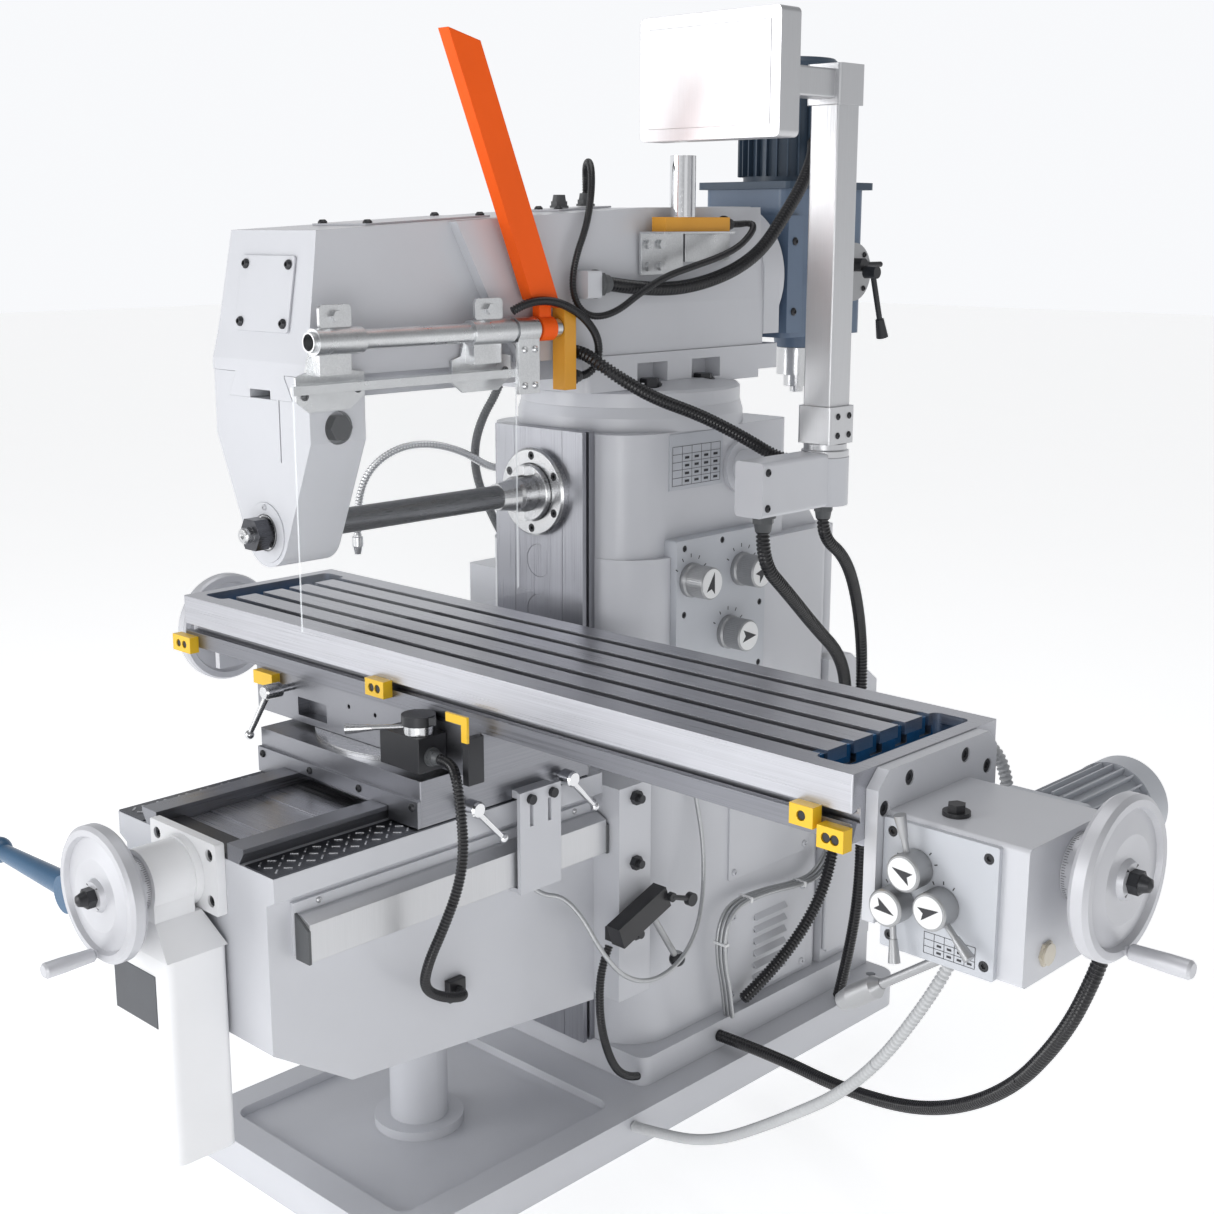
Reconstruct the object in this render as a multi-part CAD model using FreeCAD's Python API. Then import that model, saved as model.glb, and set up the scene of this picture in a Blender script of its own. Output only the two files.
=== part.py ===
import FreeCAD, Part
import math
import os

from FreeCAD import Vector as V

os.makedirs("parts", exist_ok=True)

# Universal knee-type milling machine. Millimetres. X runs to the operator's right,
# Y from the operator to the column, Z up. The origin is on the floor, on the machine's
# centreline, under the front face of the column ways.

# ---- driving dimensions -------------------------------------------------------------
GAP = 0.3                    # clearance between pieces that slide or turn on each other
FIT = 0.06                   # radial running clearance of shafts in their bores

TABLE_LENGTH = 1600.0
TABLE_WIDTH = 360.0
TABLE_TOP = 1014.0
TABLE_THICK = 98.0
TABLE_X = 255.0              # the table stands traversed to the right of the centreline
TABLE_Y = -265.0
SLOT_COUNT = 5
SLOT_PITCH = 63.0
SLOT_WIDTH = 18.0
SLOT_DEPTH = 32.0
SLOT_FOOT_WIDTH = 30.0
SLOT_FOOT_HEIGHT = 13.0
SLOT_HALF_LENGTH = 710.0
TROUGH_HALF_LENGTH = 775.0

SCREW_Z = 900.0              # longitudinal feed screw
WHEEL_R = 112.0

SPINDLE_Z = 1230.0
NOSE_R = 54.0
ARBOR_R = 22.0

WAYS_HALF = 118.0            # column ways
WAYS_FRONT = -2.0
WAYS_BACK = 30.0
COLUMN_HALF = 222.0
NECK_HALF = 205.0
COLUMN_SHOULDER_Z = 1112.0
COLUMN_TOP = 1345.0
TURRET_Y = 254.0
TURRET_R = 217.0
TURRET_Z = 1390.0
WAY_Z = 1490.0               # top of the turret, where the ram slides

RAM_FRONT = -623.0
RAM_BACK = 486.0
DOVE_NECK = 67.0
DOVE_HALF = 87.0
DOVE_BOTTOM = 1450.0

KNEE_TOP = 764.0
KNEE_FRONT = -795.0
KNEE_HALF = 205.0
LIP_HALF = 227.0
LIP_TOP = 736.0
FLANGE_HALF = 271.0
CROSS_Z = 697.0              # cross feed screw

SADDLE_TOP = 822.0
SWIVEL_BOTTOM = 830.0
SWIVEL_HALF = 316.0

SUPPORT_FRONT = -622.0
SUPPORT_BACK = -512.0

GUARD_X = 168.0
GUARD_Z = 1548.0

HEAD_Z = 1622.0              # axis that the vertical head tilts on
HEAD_SPINDLE_Y = 793.0

POST_X = 420.0
POST_Y = 335.0
POST_SIDE = 62.0

X_AXIS = V(1, 0, 0)
Y_AXIS = V(0, 1, 0)
Z_AXIS = V(0, 0, 1)


# ---- shape helpers -------------------------------------------------------------------
def box(x0, x1, y0, y1, z0, z1):
    return Part.makeBox(x1 - x0, y1 - y0, z1 - z0, V(x0, y0, z0))


def rod(x, y, z, axis, radius, length):
    return Part.makeCylinder(radius, length, V(x, y, z), axis)


def taper(x, y, z, axis, radius_a, radius_b, length):
    return Part.makeCone(radius_a, radius_b, length, V(x, y, z), axis)


def face_of(points):
    return Part.Face(Part.makePolygon(points + [points[0]]))


def prism_x(outline, x0, x1):
    """Outline of (y, z) points, pulled along X."""
    return face_of([V(x0, y, z) for y, z in outline]).extrude(V(x1 - x0, 0, 0))


def prism_y(outline, y0, y1):
    """Outline of (x, z) points, pulled along Y."""
    return face_of([V(x, y0, z) for x, z in outline]).extrude(V(0, y1 - y0, 0))


def prism_z(outline, z0, z1):
    """Outline of (x, y) points, pulled along Z."""
    return face_of([V(x, y, z0) for x, y in outline]).extrude(V(0, 0, z1 - z0))


def turned(profile, origin, axis):
    """Closed profile of (radius, distance along the axis), turned about the axis."""
    side = V(1, 0, 0) if abs(axis.x) < 0.5 else V(0, 1, 0)
    points = [origin + side * r + axis * h for r, h in profile]
    return face_of(points).revolve(origin, axis, 360)


def fuse(*shapes):
    whole = shapes[0]
    for shape in shapes[1:]:
        whole = whole.fuse(shape)
    return whole.removeSplitter()


def cut(whole, *tools):
    for tool in tools:
        whole = whole.cut(tool)
    return whole


def along(shape, axis, low, high):
    """Edges of the shape that run along the axis, between two heights on it."""
    picked = []
    for edge in shape.Edges:
        if len(edge.Vertexes) != 2:
            continue
        a = edge.Vertexes[0].Point
        b = edge.Vertexes[1].Point
        run = b.sub(a)
        if run.Length < 1.0 or abs(run.normalize().dot(axis)) < 0.999:
            continue
        middle = a.add(b).multiply(0.5).dot(axis)
        if low <= middle <= high:
            picked.append(edge)
    return picked


def rounded(shape, radius, axis, low=-1e6, high=1e6):
    return shape.makeFillet(radius, along(shape, axis, low, high))


def rounded_box(x0, x1, y0, y1, z0, z1, radius, axis=Z_AXIS):
    return rounded(box(x0, x1, y0, y1, z0, z1), radius, axis)


def hexagon(x, y, z, axis, radius, height):
    """Hexagonal prism whose corners lie on the radius."""
    corners = []
    side = V(1, 0, 0) if abs(axis.x) < 0.5 else V(0, 1, 0)
    other = axis.cross(side)
    for k in range(6):
        turn = math.radians(60 * k)
        corners.append(V(x, y, z) + side * (radius * math.cos(turn)) + other * (radius * math.sin(turn)))
    return face_of(corners).extrude(axis * height)


def spun(shape, x, y, z, axis, degrees):
    copy = shape.copy()
    copy.rotate(V(x, y, z), axis, degrees)
    return copy


def tube(points, radius):
    """Round tube along straight runs joined by tangent arcs; prints its tightest radius."""
    route = [V(*p) for p in points]
    edges = []
    start = route[0]
    tightest = 1e9
    for before, corner, after in zip(route, route[1:], route[2:]):
        back = before.sub(corner)
        ahead = after.sub(corner)
        turn = math.pi - back.getAngle(ahead)
        bend = 0.45 * min(back.Length, ahead.Length) / math.tan(turn / 2)
        trim = bend * math.tan(turn / 2)
        a = corner.add(V(back).normalize().multiply(trim))
        b = corner.add(V(ahead).normalize().multiply(trim))
        towards = V(back).normalize().add(V(ahead).normalize()).normalize()
        centre = corner.add(towards.multiply(bend / math.cos(turn / 2)))
        middle = centre.add(corner.sub(centre).normalize().multiply(bend))
        edges.append(Part.LineSegment(start, a).toShape())
        edges.append(Part.Arc(a, middle, b).toShape())
        start = b
        tightest = min(tightest, bend)
    edges.append(Part.LineSegment(start, route[-1]).toShape())
    path = Part.Wire(edges)
    direction = route[1].sub(route[0])
    section = Part.Wire([Part.makeCircle(radius, route[0], direction)])
    shape = path.makePipeShell([section], True, False)
    print("tube length %.0f, tightest radius %.0f, volume ratio %.4f"
          % (path.Length, tightest, shape.Volume / (math.pi * radius ** 2 * path.Length)))
    return shape


def write(name, *solids):
    shape = solids[0] if len(solids) == 1 else Part.makeCompound(list(solids))
    shape.exportStep("parts/%s.step" % name)


# ---- base and column -----------------------------------------------------------------
BASE_HALF = 310.0
BASE_FRONT = -640.0
BASE_BACK = 822.0
PAN_TOP = 70.0
FOOT_TOP = 130.0
ANCHOR_X = 270.0
ANCHOR_FRONT = -590.0
ANCHOR_BACK = 770.0
SPINDLE_BORE = 66.0
MOTOR_AXIS_Z = 250.0
BELT_Y = 450.0
SPINDLE_PULLEY_R = 84.0
MOTOR_PULLEY_R = 56.0
ELEVATOR_Y = -330.0
ELEVATOR_R = 25.0


def base_plinth():
    pan = rounded_box(-BASE_HALF, BASE_HALF, BASE_FRONT, BASE_BACK, 0, PAN_TOP, 45)
    foot = rounded_box(-COLUMN_HALF - 30, COLUMN_HALF + 30, WAYS_BACK - 2, BASE_BACK - 90, PAN_TOP, FOOT_TOP,
                       25)
    body = fuse(pan, foot)
    trough = rounded_box(-BASE_HALF + 60, BASE_HALF - 60, BASE_FRONT + 60, -60, PAN_TOP - 18, PAN_TOP + 1, 30)
    pad = rod(0, ELEVATOR_Y, PAN_TOP - 20, Z_AXIS, 85, 20)
    body = cut(body, cut(trough, pad))
    for x in (-ANCHOR_X, ANCHOR_X):
        for y in (ANCHOR_FRONT, ANCHOR_BACK):
            body = cut(body, rod(x, y, -1, Z_AXIS, 11, PAN_TOP + 2))
    pillar = rod(0, ELEVATOR_Y, PAN_TOP, Z_AXIS, 55, 330)
    pillar = cut(pillar, rod(0, ELEVATOR_Y, PAN_TOP, Z_AXIS, ELEVATOR_R + FIT, 331))
    write("base_plinth", body, pillar)


NECK_FRONT = WAYS_BACK + 1.0


def column_body():
    lower = box(-COLUMN_HALF, COLUMN_HALF, WAYS_BACK, 630, FOOT_TOP, COLUMN_SHOULDER_Z)
    lower = rounded(lower, 25, Z_AXIS)
    upper = box(-NECK_HALF, NECK_HALF, NECK_FRONT, 505, COLUMN_SHOULDER_Z, COLUMN_TOP)
    upper = rounded(upper, 25, Z_AXIS)
    neck_profile = [(0, 0), (TURRET_R + 6, 0), (TURRET_R + 6, 25), (TURRET_R, 45), (0, 45)]
    neck = turned(neck_profile, V(0, TURRET_Y, COLUMN_TOP), Z_AXIS)
    tail = prism_x([(505, COLUMN_SHOULDER_Z), (630, COLUMN_SHOULDER_Z), (520, 1250), (505, 1270)],
                   -NECK_HALF + 20, NECK_HALF - 20)
    rear = rounded_box(-NECK_HALF, NECK_HALF, 630, 676, 830, 1108, 20)
    whole = fuse(lower, upper, neck, tail, rear)
    return whole


def front_corners(body):
    """Large round corners at the front of the column, from the ways back to the sides."""
    for side in (-1, 1):
        for half, front, low, high, depth in ((COLUMN_HALF, WAYS_BACK, FOOT_TOP - 1, COLUMN_SHOULDER_Z, 110),
                                              (NECK_HALF, NECK_FRONT, COLUMN_SHOULDER_Z, COLUMN_TOP, 100)):
            reach = half - WAYS_HALF - 4
            centre = V(side * (half - reach), front + depth, low)
            corners = [V(side * half, centre.y, low), V(side * (half + 2), centre.y, low),
                       V(side * (half + 2), front - 2, low), V(centre.x, front - 2, low),
                       V(centre.x, front, low)]
            edges = [Part.LineSegment(a, b).toShape() for a, b in zip(corners, corners[1:])]
            middle = V(centre.x + side * reach * math.sqrt(0.5), centre.y - depth * math.sqrt(0.5), low)
            oval = Part.Ellipse(V(0, 0, 0), max(reach, depth), min(reach, depth))
            if depth > reach:
                oval.rotate(FreeCAD.Placement(V(0, 0, 0), Z_AXIS, 90))
            oval.translate(centre)
            ends = sorted((oval.parameter(corners[-1]), oval.parameter(corners[0])))
            if not ends[0] < oval.parameter(middle) < ends[1]:
                ends = [ends[1], ends[0] + 2 * math.pi]
            edges.append(Part.ArcOfEllipse(oval, ends[0], ends[1]).toShape())
            body = body.cut(Part.Face(Part.Wire(Part.__sortEdges__(edges))).extrude(V(0, 0, high - low)))
    return body


def column():
    body = front_corners(column_body())
    bore = rod(0, WAYS_BACK - 1, SPINDLE_Z, Y_AXIS, SPINDLE_BORE, 440)
    motor_room = box(-98, 98, 246, 492, MOTOR_AXIS_Z - 98, MOTOR_AXIS_Z + 98)
    belt_room = box(-98, 98, BELT_Y - 6, 492, MOTOR_AXIS_Z, SPINDLE_Z + 98)
    write("column", cut(body, bore, motor_room, belt_room))


def belt_loop(radius_top, radius_low, y0, y1):
    """Solid filled outline of a belt round the spindle's and the motor's pulleys."""
    rise = SPINDLE_Z - MOTOR_AXIS_Z
    lean = math.asin((radius_top - radius_low) / rise)
    points = []
    for radius, z in ((radius_top, SPINDLE_Z), (radius_low, MOTOR_AXIS_Z)):
        points.append((radius * math.cos(lean), z - radius * math.sin(lean)))
    (x_top, z_top), (x_low, z_low) = points
    edges = [Part.LineSegment(V(x_low, y0, z_low), V(x_top, y0, z_top)).toShape(),
             Part.Arc(V(x_top, y0, z_top), V(0, y0, SPINDLE_Z + radius_top), V(-x_top, y0, z_top)).toShape(),
             Part.LineSegment(V(-x_top, y0, z_top), V(-x_low, y0, z_low)).toShape(),
             Part.Arc(V(-x_low, y0, z_low), V(0, y0, MOTOR_AXIS_Z - radius_low),
                      V(x_low, y0, z_low)).toShape()]
    return Part.Face(Part.Wire(edges)).extrude(V(0, y1 - y0, 0))


def main_drive():
    """Motor in the foot of the column, its belt and the two pulleys."""
    belt = cut(belt_loop(SPINDLE_PULLEY_R + 7, MOTOR_PULLEY_R + 7, BELT_Y, BELT_Y + 26),
               belt_loop(SPINDLE_PULLEY_R + GAP, MOTOR_PULLEY_R + GAP, BELT_Y - 1, BELT_Y + 27))
    drum = rod(0, 252, MOTOR_AXIS_Z, Y_AXIS, 84, 160)
    foot = box(-80, 80, 262, 400, MOTOR_AXIS_Z - 98, MOTOR_AXIS_Z - 76)
    motor = cut(fuse(drum, foot), rod(0, 330, MOTOR_AXIS_Z, Y_AXIS, 14 + FIT, 100))
    write("main_motor", motor, belt)
    shaft = rod(0, 340, MOTOR_AXIS_Z, Y_AXIS, 14, 136)
    write("motor_pulley", fuse(shaft, rod(0, BELT_Y - 2, MOTOR_AXIS_Z, Y_AXIS, MOTOR_PULLEY_R, 30)))


def column_ways():
    plate = box(-WAYS_HALF, WAYS_HALF, WAYS_FRONT, WAYS_BACK, FOOT_TOP, COLUMN_TOP + 5)
    for side in (-1, 1):
        groove = box(*sorted((side * (WAYS_HALF + 1), side * (WAYS_HALF - 9))), 8, 16, FOOT_TOP - 1,
                     COLUMN_TOP + 6)
        plate = cut(plate, groove)
        line = box(side * 65 - 0.6, side * 65 + 0.6, WAYS_FRONT - 1, WAYS_FRONT + 1, FOOT_TOP - 1,
                   COLUMN_TOP + 6)
        plate = cut(plate, line)
    plate = cut(plate, rod(0, WAYS_FRONT - 1, SPINDLE_Z, Y_AXIS, NOSE_R + 2, 40))
    plugs = []
    for z in (1095, 996):
        plate = cut(plate, rod(0, WAYS_FRONT - 1, z, Y_AXIS, 32, 7))
        plugs.append(rod(0, WAYS_FRONT + 0.6, z, Y_AXIS, 31.6, 5))
    write("column_ways", plate, *plugs)


def spindle_cap():
    ring = [(NOSE_R + 1.5, 0), (80, 0), (84, 4), (84, 18), (NOSE_R + 1.5, 18)]
    cap = turned(ring, V(0, WAYS_FRONT - 18, SPINDLE_Z), Y_AXIS)
    screws = []
    for k in range(6):
        turn = math.radians(30 + 60 * k)
        x = 69 * math.cos(turn)
        z = SPINDLE_Z + 69 * math.sin(turn)
        cap = cut(cap, rod(x, WAYS_FRONT - 19, z, Y_AXIS, 8, 11))
        head = rod(x, WAYS_FRONT - 17.5, z, Y_AXIS, 7.4, 9)
        screws.append(cut(head, hexagon(x, WAYS_FRONT - 18, z, Y_AXIS, 4, 5)))
    bearings = []
    for y in (WAYS_BACK + 10, 400):
        outer = rod(0, y, SPINDLE_Z, Y_AXIS, SPINDLE_BORE - FIT, 38)
        bearings.append(cut(outer, rod(0, y - 1, SPINDLE_Z, Y_AXIS, 38 + FIT, 40)))
    write("spindle_cap", cap, *screws, *bearings)


# ---- plates on the column --------------------------------------------------------------
PANEL_X = COLUMN_HALF + 15
KNOB_SPOTS = ((170, 1066), (320, 1066), (282, 946))
KNOB_R = 31.0


def round_head(x, y, z, axis, radius, height):
    """Domed screw head with a hexagon socket."""
    head = turned([(0, 0), (radius, 0), (radius, height * 0.4), (radius * 0.6, height), (0, height)],
                  V(x, y, z), axis)
    return cut(head, hexagon(x + axis.x * height * 0.5, y + axis.y * height * 0.5,
                             z + axis.z * height * 0.5, axis, radius * 0.45, height))


def selector_panel():
    panel = rounded_box(NECK_HALF, PANEL_X, 129, 396, 846, COLUMN_SHOULDER_Z + 32, 6, X_AXIS)
    panel = cut(panel, box(NECK_HALF - 1, COLUMN_HALF, 120, 400, 840, COLUMN_SHOULDER_Z))
    sockets = []
    for y, z in ((152, 1128), (262, 1131), (376, 1112), (152, 1000), (380, 990), (380, 866), (152, 866)):
        panel = cut(panel, rod(PANEL_X - 6, y, z, X_AXIS, 6.5, 7))
        head = rod(PANEL_X - 6, y, z, X_AXIS, 6.2, 5)
        sockets.append(cut(head, hexagon(PANEL_X - 3, y, z, X_AXIS, 3.4, 3)))
    for y, z in KNOB_SPOTS:
        panel = cut(panel, rod(PANEL_X - 10, y, z, X_AXIS, 9 + FIT, 11))
    return [panel] + sockets


def speed_knob(index, y, z):
    """Knurled selector knob on its collar, with a pointer disc in its end."""
    spindle_end = rod(PANEL_X - 9, y, z, X_AXIS, 9, 9 + GAP)
    collar = turned([(0, GAP), (KNOB_R + 2, GAP), (KNOB_R + 2, 9), (KNOB_R - 1, 13), (0, 13)],
                    V(PANEL_X, y, z), X_AXIS)
    grip = turned([(0, 13), (KNOB_R - 1, 13), (KNOB_R, 16), (KNOB_R, 51), (KNOB_R - 1.5, 53), (0, 53)],
                  V(PANEL_X, y, z), X_AXIS)
    for k in range(48):
        turn = math.radians(7.5 * k)
        groove = rod(PANEL_X + 17, y + KNOB_R * math.cos(turn), z + KNOB_R * math.sin(turn), X_AXIS, 0.7, 32)
        grip = grip.cut(groove)
    disc = rod(PANEL_X + 53, y, z, X_AXIS, KNOB_R - 3, 1)
    arrow = prism_x([(y, z + 22), (y - 12, z - 18), (y, z - 10), (y + 12, z - 18)], PANEL_X + 54,
                    PANEL_X + 54.5)
    write("speed_knob_%d" % index, fuse(spindle_end, collar, grip), disc,
          spun(arrow, 0, y, z, X_AXIS, 25 - 40 * index))


COVER_X = COLUMN_HALF + 4


def screwed_plate(y0, y1, z0, z1):
    plate = rounded_box(COLUMN_HALF, COVER_X, y0, y1, z0, z1, 5, X_AXIS)
    screws = []
    for y in (y0 + 16, y1 - 16):
        for z in (z0 + 16, z1 - 16):
            screws.append(round_head(COVER_X, y, z, X_AXIS, 7, 5))
    return plate, screws


def column_plates():
    """Speed chart, the access cover and the louvred motor cover on the column's right side."""
    chart = box(NECK_HALF, NECK_HALF + 2, 140, 294, 1235, 1341)
    cover, cover_screws = screwed_plate(313, 581, 411, 700)
    door, door_screws = screwed_plate(313, 581, 140, 345)
    louvres = []
    for k in range(6):
        z = 165 + 27 * k
        door = cut(door, box(COLUMN_HALF - 1, COVER_X + 1, 400, 500, z, z + 7))
        hood = prism_y([(COVER_X, z + 14), (COVER_X + 9, z + 3), (COVER_X + 9, z + 1), (COVER_X + 7, z + 1),
                        (COVER_X, z + 9)], 398, 502)
        louvres.append(hood)
    write("column_plates", chart, cover, fuse(door, *louvres), *cover_screws, *door_screws, *selector_panel())


# ---- electrical boxes and their door -----------------------------------------------------
CABINET_BACK = 812.0
DOOR_HINGE_Y = 640.0


def electrical_boxes():
    outline = [(632, PAN_TOP), (CABINET_BACK, PAN_TOP), (CABINET_BACK, 745), (712, 822), (632, 822)]
    cabinet = prism_x(outline, -COLUMN_HALF - 6, COLUMN_HALF + 6)
    foot_room = box(-COLUMN_HALF - 31, COLUMN_HALF + 31, 600, 733, PAN_TOP - 1, FOOT_TOP)
    room = box(-COLUMN_HALF + 20, COLUMN_HALF + 7, 655, CABINET_BACK - 12, FOOT_TOP + 25, 700)
    cabinet = cut(cabinet, foot_room, room)
    board = box(-120, 120, CABINET_BACK - 16, CABINET_BACK - 12, 180, 680)
    blocks = []
    for row in range(3):
        for column_index in range(4):
            x = -100 + 52 * column_index
            z = 230 + 150 * row
            blocks.append(box(x, x + 44, CABINET_BACK - 76, CABINET_BACK - 16, z, z + 80))
    left_box = rounded_box(-330, -COLUMN_HALF - GAP, 110, 210, 850, 1030, 8)
    write("electrical_boxes", cabinet, board, *blocks, left_box)


def cabinet_door():
    x0 = COLUMN_HALF + 6 + GAP
    leaf = rounded_box(x0, x0 + 5, DOOR_HINGE_Y + 8, CABINET_BACK - 4, 150, 715, 4, X_AXIS)
    strap = box(x0, x0 + 5, DOOR_HINGE_Y, DOOR_HINGE_Y + 10, 160, 705)
    knuckle = rod(x0 + 4, DOOR_HINGE_Y, 160, Z_AXIS, 4, 545)
    latch = rod(x0 + 5, CABINET_BACK - 30, 430, X_AXIS, 12, 8)
    write("cabinet_door", fuse(leaf, strap, knuckle, latch))


# ---- turret -------------------------------------------------------------------------------
BLOCK_HALF = 150.0
BLOCK_FRONT = -23.0
BLOCK_BACK = 536.0


def turret():
    rim = [(0, 0), (TURRET_R, 0), (TURRET_R, 26), (TURRET_R - 5, 31), (TURRET_R - 55, 45), (0, 45)]
    disc = turned(rim, V(0, TURRET_Y, TURRET_Z), Z_AXIS)
    block = rounded_box(-BLOCK_HALF, BLOCK_HALF, BLOCK_FRONT, BLOCK_BACK, TURRET_Z + 35, WAY_Z, 12)
    block = cut(block, box(-BLOCK_HALF - 1, BLOCK_HALF + 1, 470, BLOCK_BACK + 1, TURRET_Z, TURRET_Z + 51))
    body = fuse(disc, block)
    bolts = []
    for side in (-1, 1):
        for y in (112, 266):
            pocket = box(*sorted((side * 112, side * (BLOCK_HALF + 1))), y, y + 84, TURRET_Z + 45,
                         TURRET_Z + 82)
            body = cut(body, pocket)
            seat = rod(side * 142, y + 42, TURRET_Z + 30, Z_AXIS, 24, 20)
            body = cut(body, seat)
            washer = rod(side * 142, y + 42, TURRET_Z + 30, Z_AXIS, 20, 4)
            bolts.append(fuse(washer, hexagon(side * 142, y + 42, TURRET_Z + 34, Z_AXIS, 19, 18)))
    slot = [(-DOVE_NECK - GAP, WAY_Z + 1), (-DOVE_NECK - GAP, 1486 + GAP),
            (-DOVE_HALF - GAP, DOVE_BOTTOM - GAP),
            (DOVE_HALF + GAP, DOVE_BOTTOM - GAP), (DOVE_NECK + GAP, 1486 + GAP), (DOVE_NECK + GAP, WAY_Z + 1)]
    body = cut(body, prism_y(slot, BLOCK_FRONT - 1, BLOCK_BACK + 1))
    write("turret", body, *bolts)


# ---- horizontal spindle and arbor -----------------------------------------------------------
def spindle():
    outline = [(0, -32), (NOSE_R - 2, -32), (NOSE_R, -30), (NOSE_R, WAYS_FRONT + 6), (38, WAYS_FRONT + 6),
               (38, 442), (30, 442), (30, 484), (0, 484)]
    shaft = turned(outline, V(0, 0, SPINDLE_Z), Y_AXIS)
    socket = turned([(0, -33), (22, -33), (12, 60), (0, 60)], V(0, 0, SPINDLE_Z), Y_AXIS)
    shaft = cut(shaft, socket)
    dogs = [box(-8, 8, -46, -32, SPINDLE_Z + s * 43 - 9, SPINDLE_Z + s * 43 + 9) for s in (-1, 1)]
    pulley = rod(0, BELT_Y - 2, SPINDLE_Z, Y_AXIS, SPINDLE_PULLEY_R, 30)
    pulley = cut(pulley, rod(0, BELT_Y - 3, SPINDLE_Z, Y_AXIS, 30.02, 40))
    write("spindle", fuse(shaft, *dogs), pulley)


def milling_arbor():
    outline = [(0, -670), (11, -670), (13.5, -667), (13.5, -110), (25, -110), (30, -70), (34, -64),
               (34, -32.5),
               (0, -32.5)]
    core = turned(outline, V(0, 0, SPINDLE_Z), Y_AXIS)
    shank = taper(0, -32.5, SPINDLE_Z, Y_AXIS, 21.4, 12.5, 85)
    for s in (-1, 1):
        core = cut(core, box(-9, 9, -60, -32, SPINDLE_Z + s * 30 - 9, SPINDLE_Z + s * 30 + 9))
    core = cut(core, taper(0, -671, SPINDLE_Z, Y_AXIS, 6, 1, 8))
    spacers = []
    joints_y = (-110, -210, -330, -430, -508, -629)
    for near, far in zip(joints_y, joints_y[1:]):
        ring = rod(0, far + 0.15, SPINDLE_Z, Y_AXIS, ARBOR_R, near - far - 0.3)
        spacers.append(cut(ring, rod(0, far, SPINDLE_Z, Y_AXIS, 13.5 + 0.02, near - far)))
    nut = cut(hexagon(0, -655, SPINDLE_Z, Y_AXIS, 29, 25.5), rod(0, -656, SPINDLE_Z, Y_AXIS, 13.52, 30))
    write("milling_arbor", fuse(core, shank), *spacers, nut)


# ---- ram -------------------------------------------------------------------------------------
def ram_top(y):
    """Height of the ram's top face, which climbs to the rear."""
    return 1713 + 0.0536 * (y - RAM_FRONT)


def ram_section(y, half_top, half_mid, half_low, top):
    """Closed outline of the ram casting at one station, above the ways."""
    low = WAY_Z + GAP
    corners = [(-half_low, low), (-half_low, low + 14), (-half_mid, low + 90), (-half_top, top),
               (half_top, top), (half_mid, low + 90), (half_low, low + 14), (half_low, low)]
    return Part.makePolygon([V(x, y, z) for x, z in corners + [corners[0]]])


def ram_length(y0, y1, halves, top0, top1):
    return Part.makeLoft([ram_section(y0, *halves, top0), ram_section(y1, *halves, top1)], True, True)


def ram():
    narrow = ram_length(RAM_FRONT, -100, (115, 123, 130), ram_top(RAM_FRONT), ram_top(-100))
    wide = ram_length(-360, 150, (134, 145, 145.5), ram_top(-360) - 1, ram_top(150))
    tail = ram_length(150, RAM_BACK, (134, 145, 145.5), ram_top(150), 1757)
    step = prism_x([(-400, 1480), (-186, 1480), (-186, 1504), (-246, 1590), (-330, 1760), (-400, 1760)], -200,
                   200)
    lean = prism_x([(RAM_FRONT - 1, 1480), (RAM_FRONT - 1, 1800), (-580, 1800), (-586, 1713), (-613, 1556),
                    (RAM_FRONT, 1510), (RAM_FRONT, 1480)], -200, 200)
    dove = prism_y([(-DOVE_NECK, WAY_Z + GAP), (-DOVE_NECK, 1486), (-DOVE_HALF, DOVE_BOTTOM),
                    (DOVE_HALF, DOVE_BOTTOM), (DOVE_NECK, 1486), (DOVE_NECK, WAY_Z + GAP)], RAM_FRONT,
                   RAM_BACK)
    dove = cut(dove, box(-28, 28, RAM_FRONT - 1, RAM_BACK + 1, DOVE_BOTTOM - 1, DOVE_BOTTOM + 14))
    flange_lower = box(-148, 148, RAM_BACK, 535, 1510, HEAD_Z)
    flange = rod(0, RAM_BACK, HEAD_Z, Y_AXIS, 148, 64)
    flange = cut(flange, box(-200, 200, RAM_BACK - 1, 551, HEAD_Z + 137, HEAD_Z + 200))
    body = fuse(cut(narrow, lean), cut(wide, step), tail, dove, flange, flange_lower)
    outlet = rounded_box(145.5, 182, -52, -16, 1596, 1644, 4, Y_AXIS)
    write("ram", body, outlet, *ram_covers())


def leaned_plate(half, y0, y1, screw_ys):
    """Cover plate with its screws, lying on the ram's sloping top."""
    slope = math.degrees(math.atan(0.0536))
    length = y1 - y0
    group = [rounded_box(-half, half, 0, length, 0, 3, 6)]
    group += [round_head(x, y, 3, Z_AXIS, 8, 6) for x in (-half + 14, half - 14) for y in screw_ys]
    placed = []
    for piece in group:
        piece = spun(piece, 0, 0, 0, X_AXIS, slope)
        piece.translate(V(0, y0, ram_top(y0) + 0.2))
        placed.append(piece)
    return placed


def ram_covers():
    """Front cover, top covers, their screws and the cable glands."""
    slope = math.degrees(math.atan2(613 - 586, 1713 - 1556))
    group = [rounded_box(-72, 72, -3.2, 0, 0, 121, 5, Y_AXIS)]
    group += [round_head(x, -3.2, z, V(0, -1, 0), 8, 6) for x in (-58, 58) for z in (14, 107)]
    pieces = []
    for piece in group:
        piece = spun(piece, 0, 0, 0, X_AXIS, -slope)
        piece.translate(V(0, -613.6, 1556))
        pieces.append(piece)
    pieces += leaned_plate(74, -455, -180, (14, 261))
    pieces += leaned_plate(40, 20, 160, (10,))
    for y in (58, 128):
        pieces.append(gland(0, y, ram_top(y) + 4.4, Z_AXIS, 13))
    pieces.append(gland(163, -16, 1620, Y_AXIS, 19))
    return pieces


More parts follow.
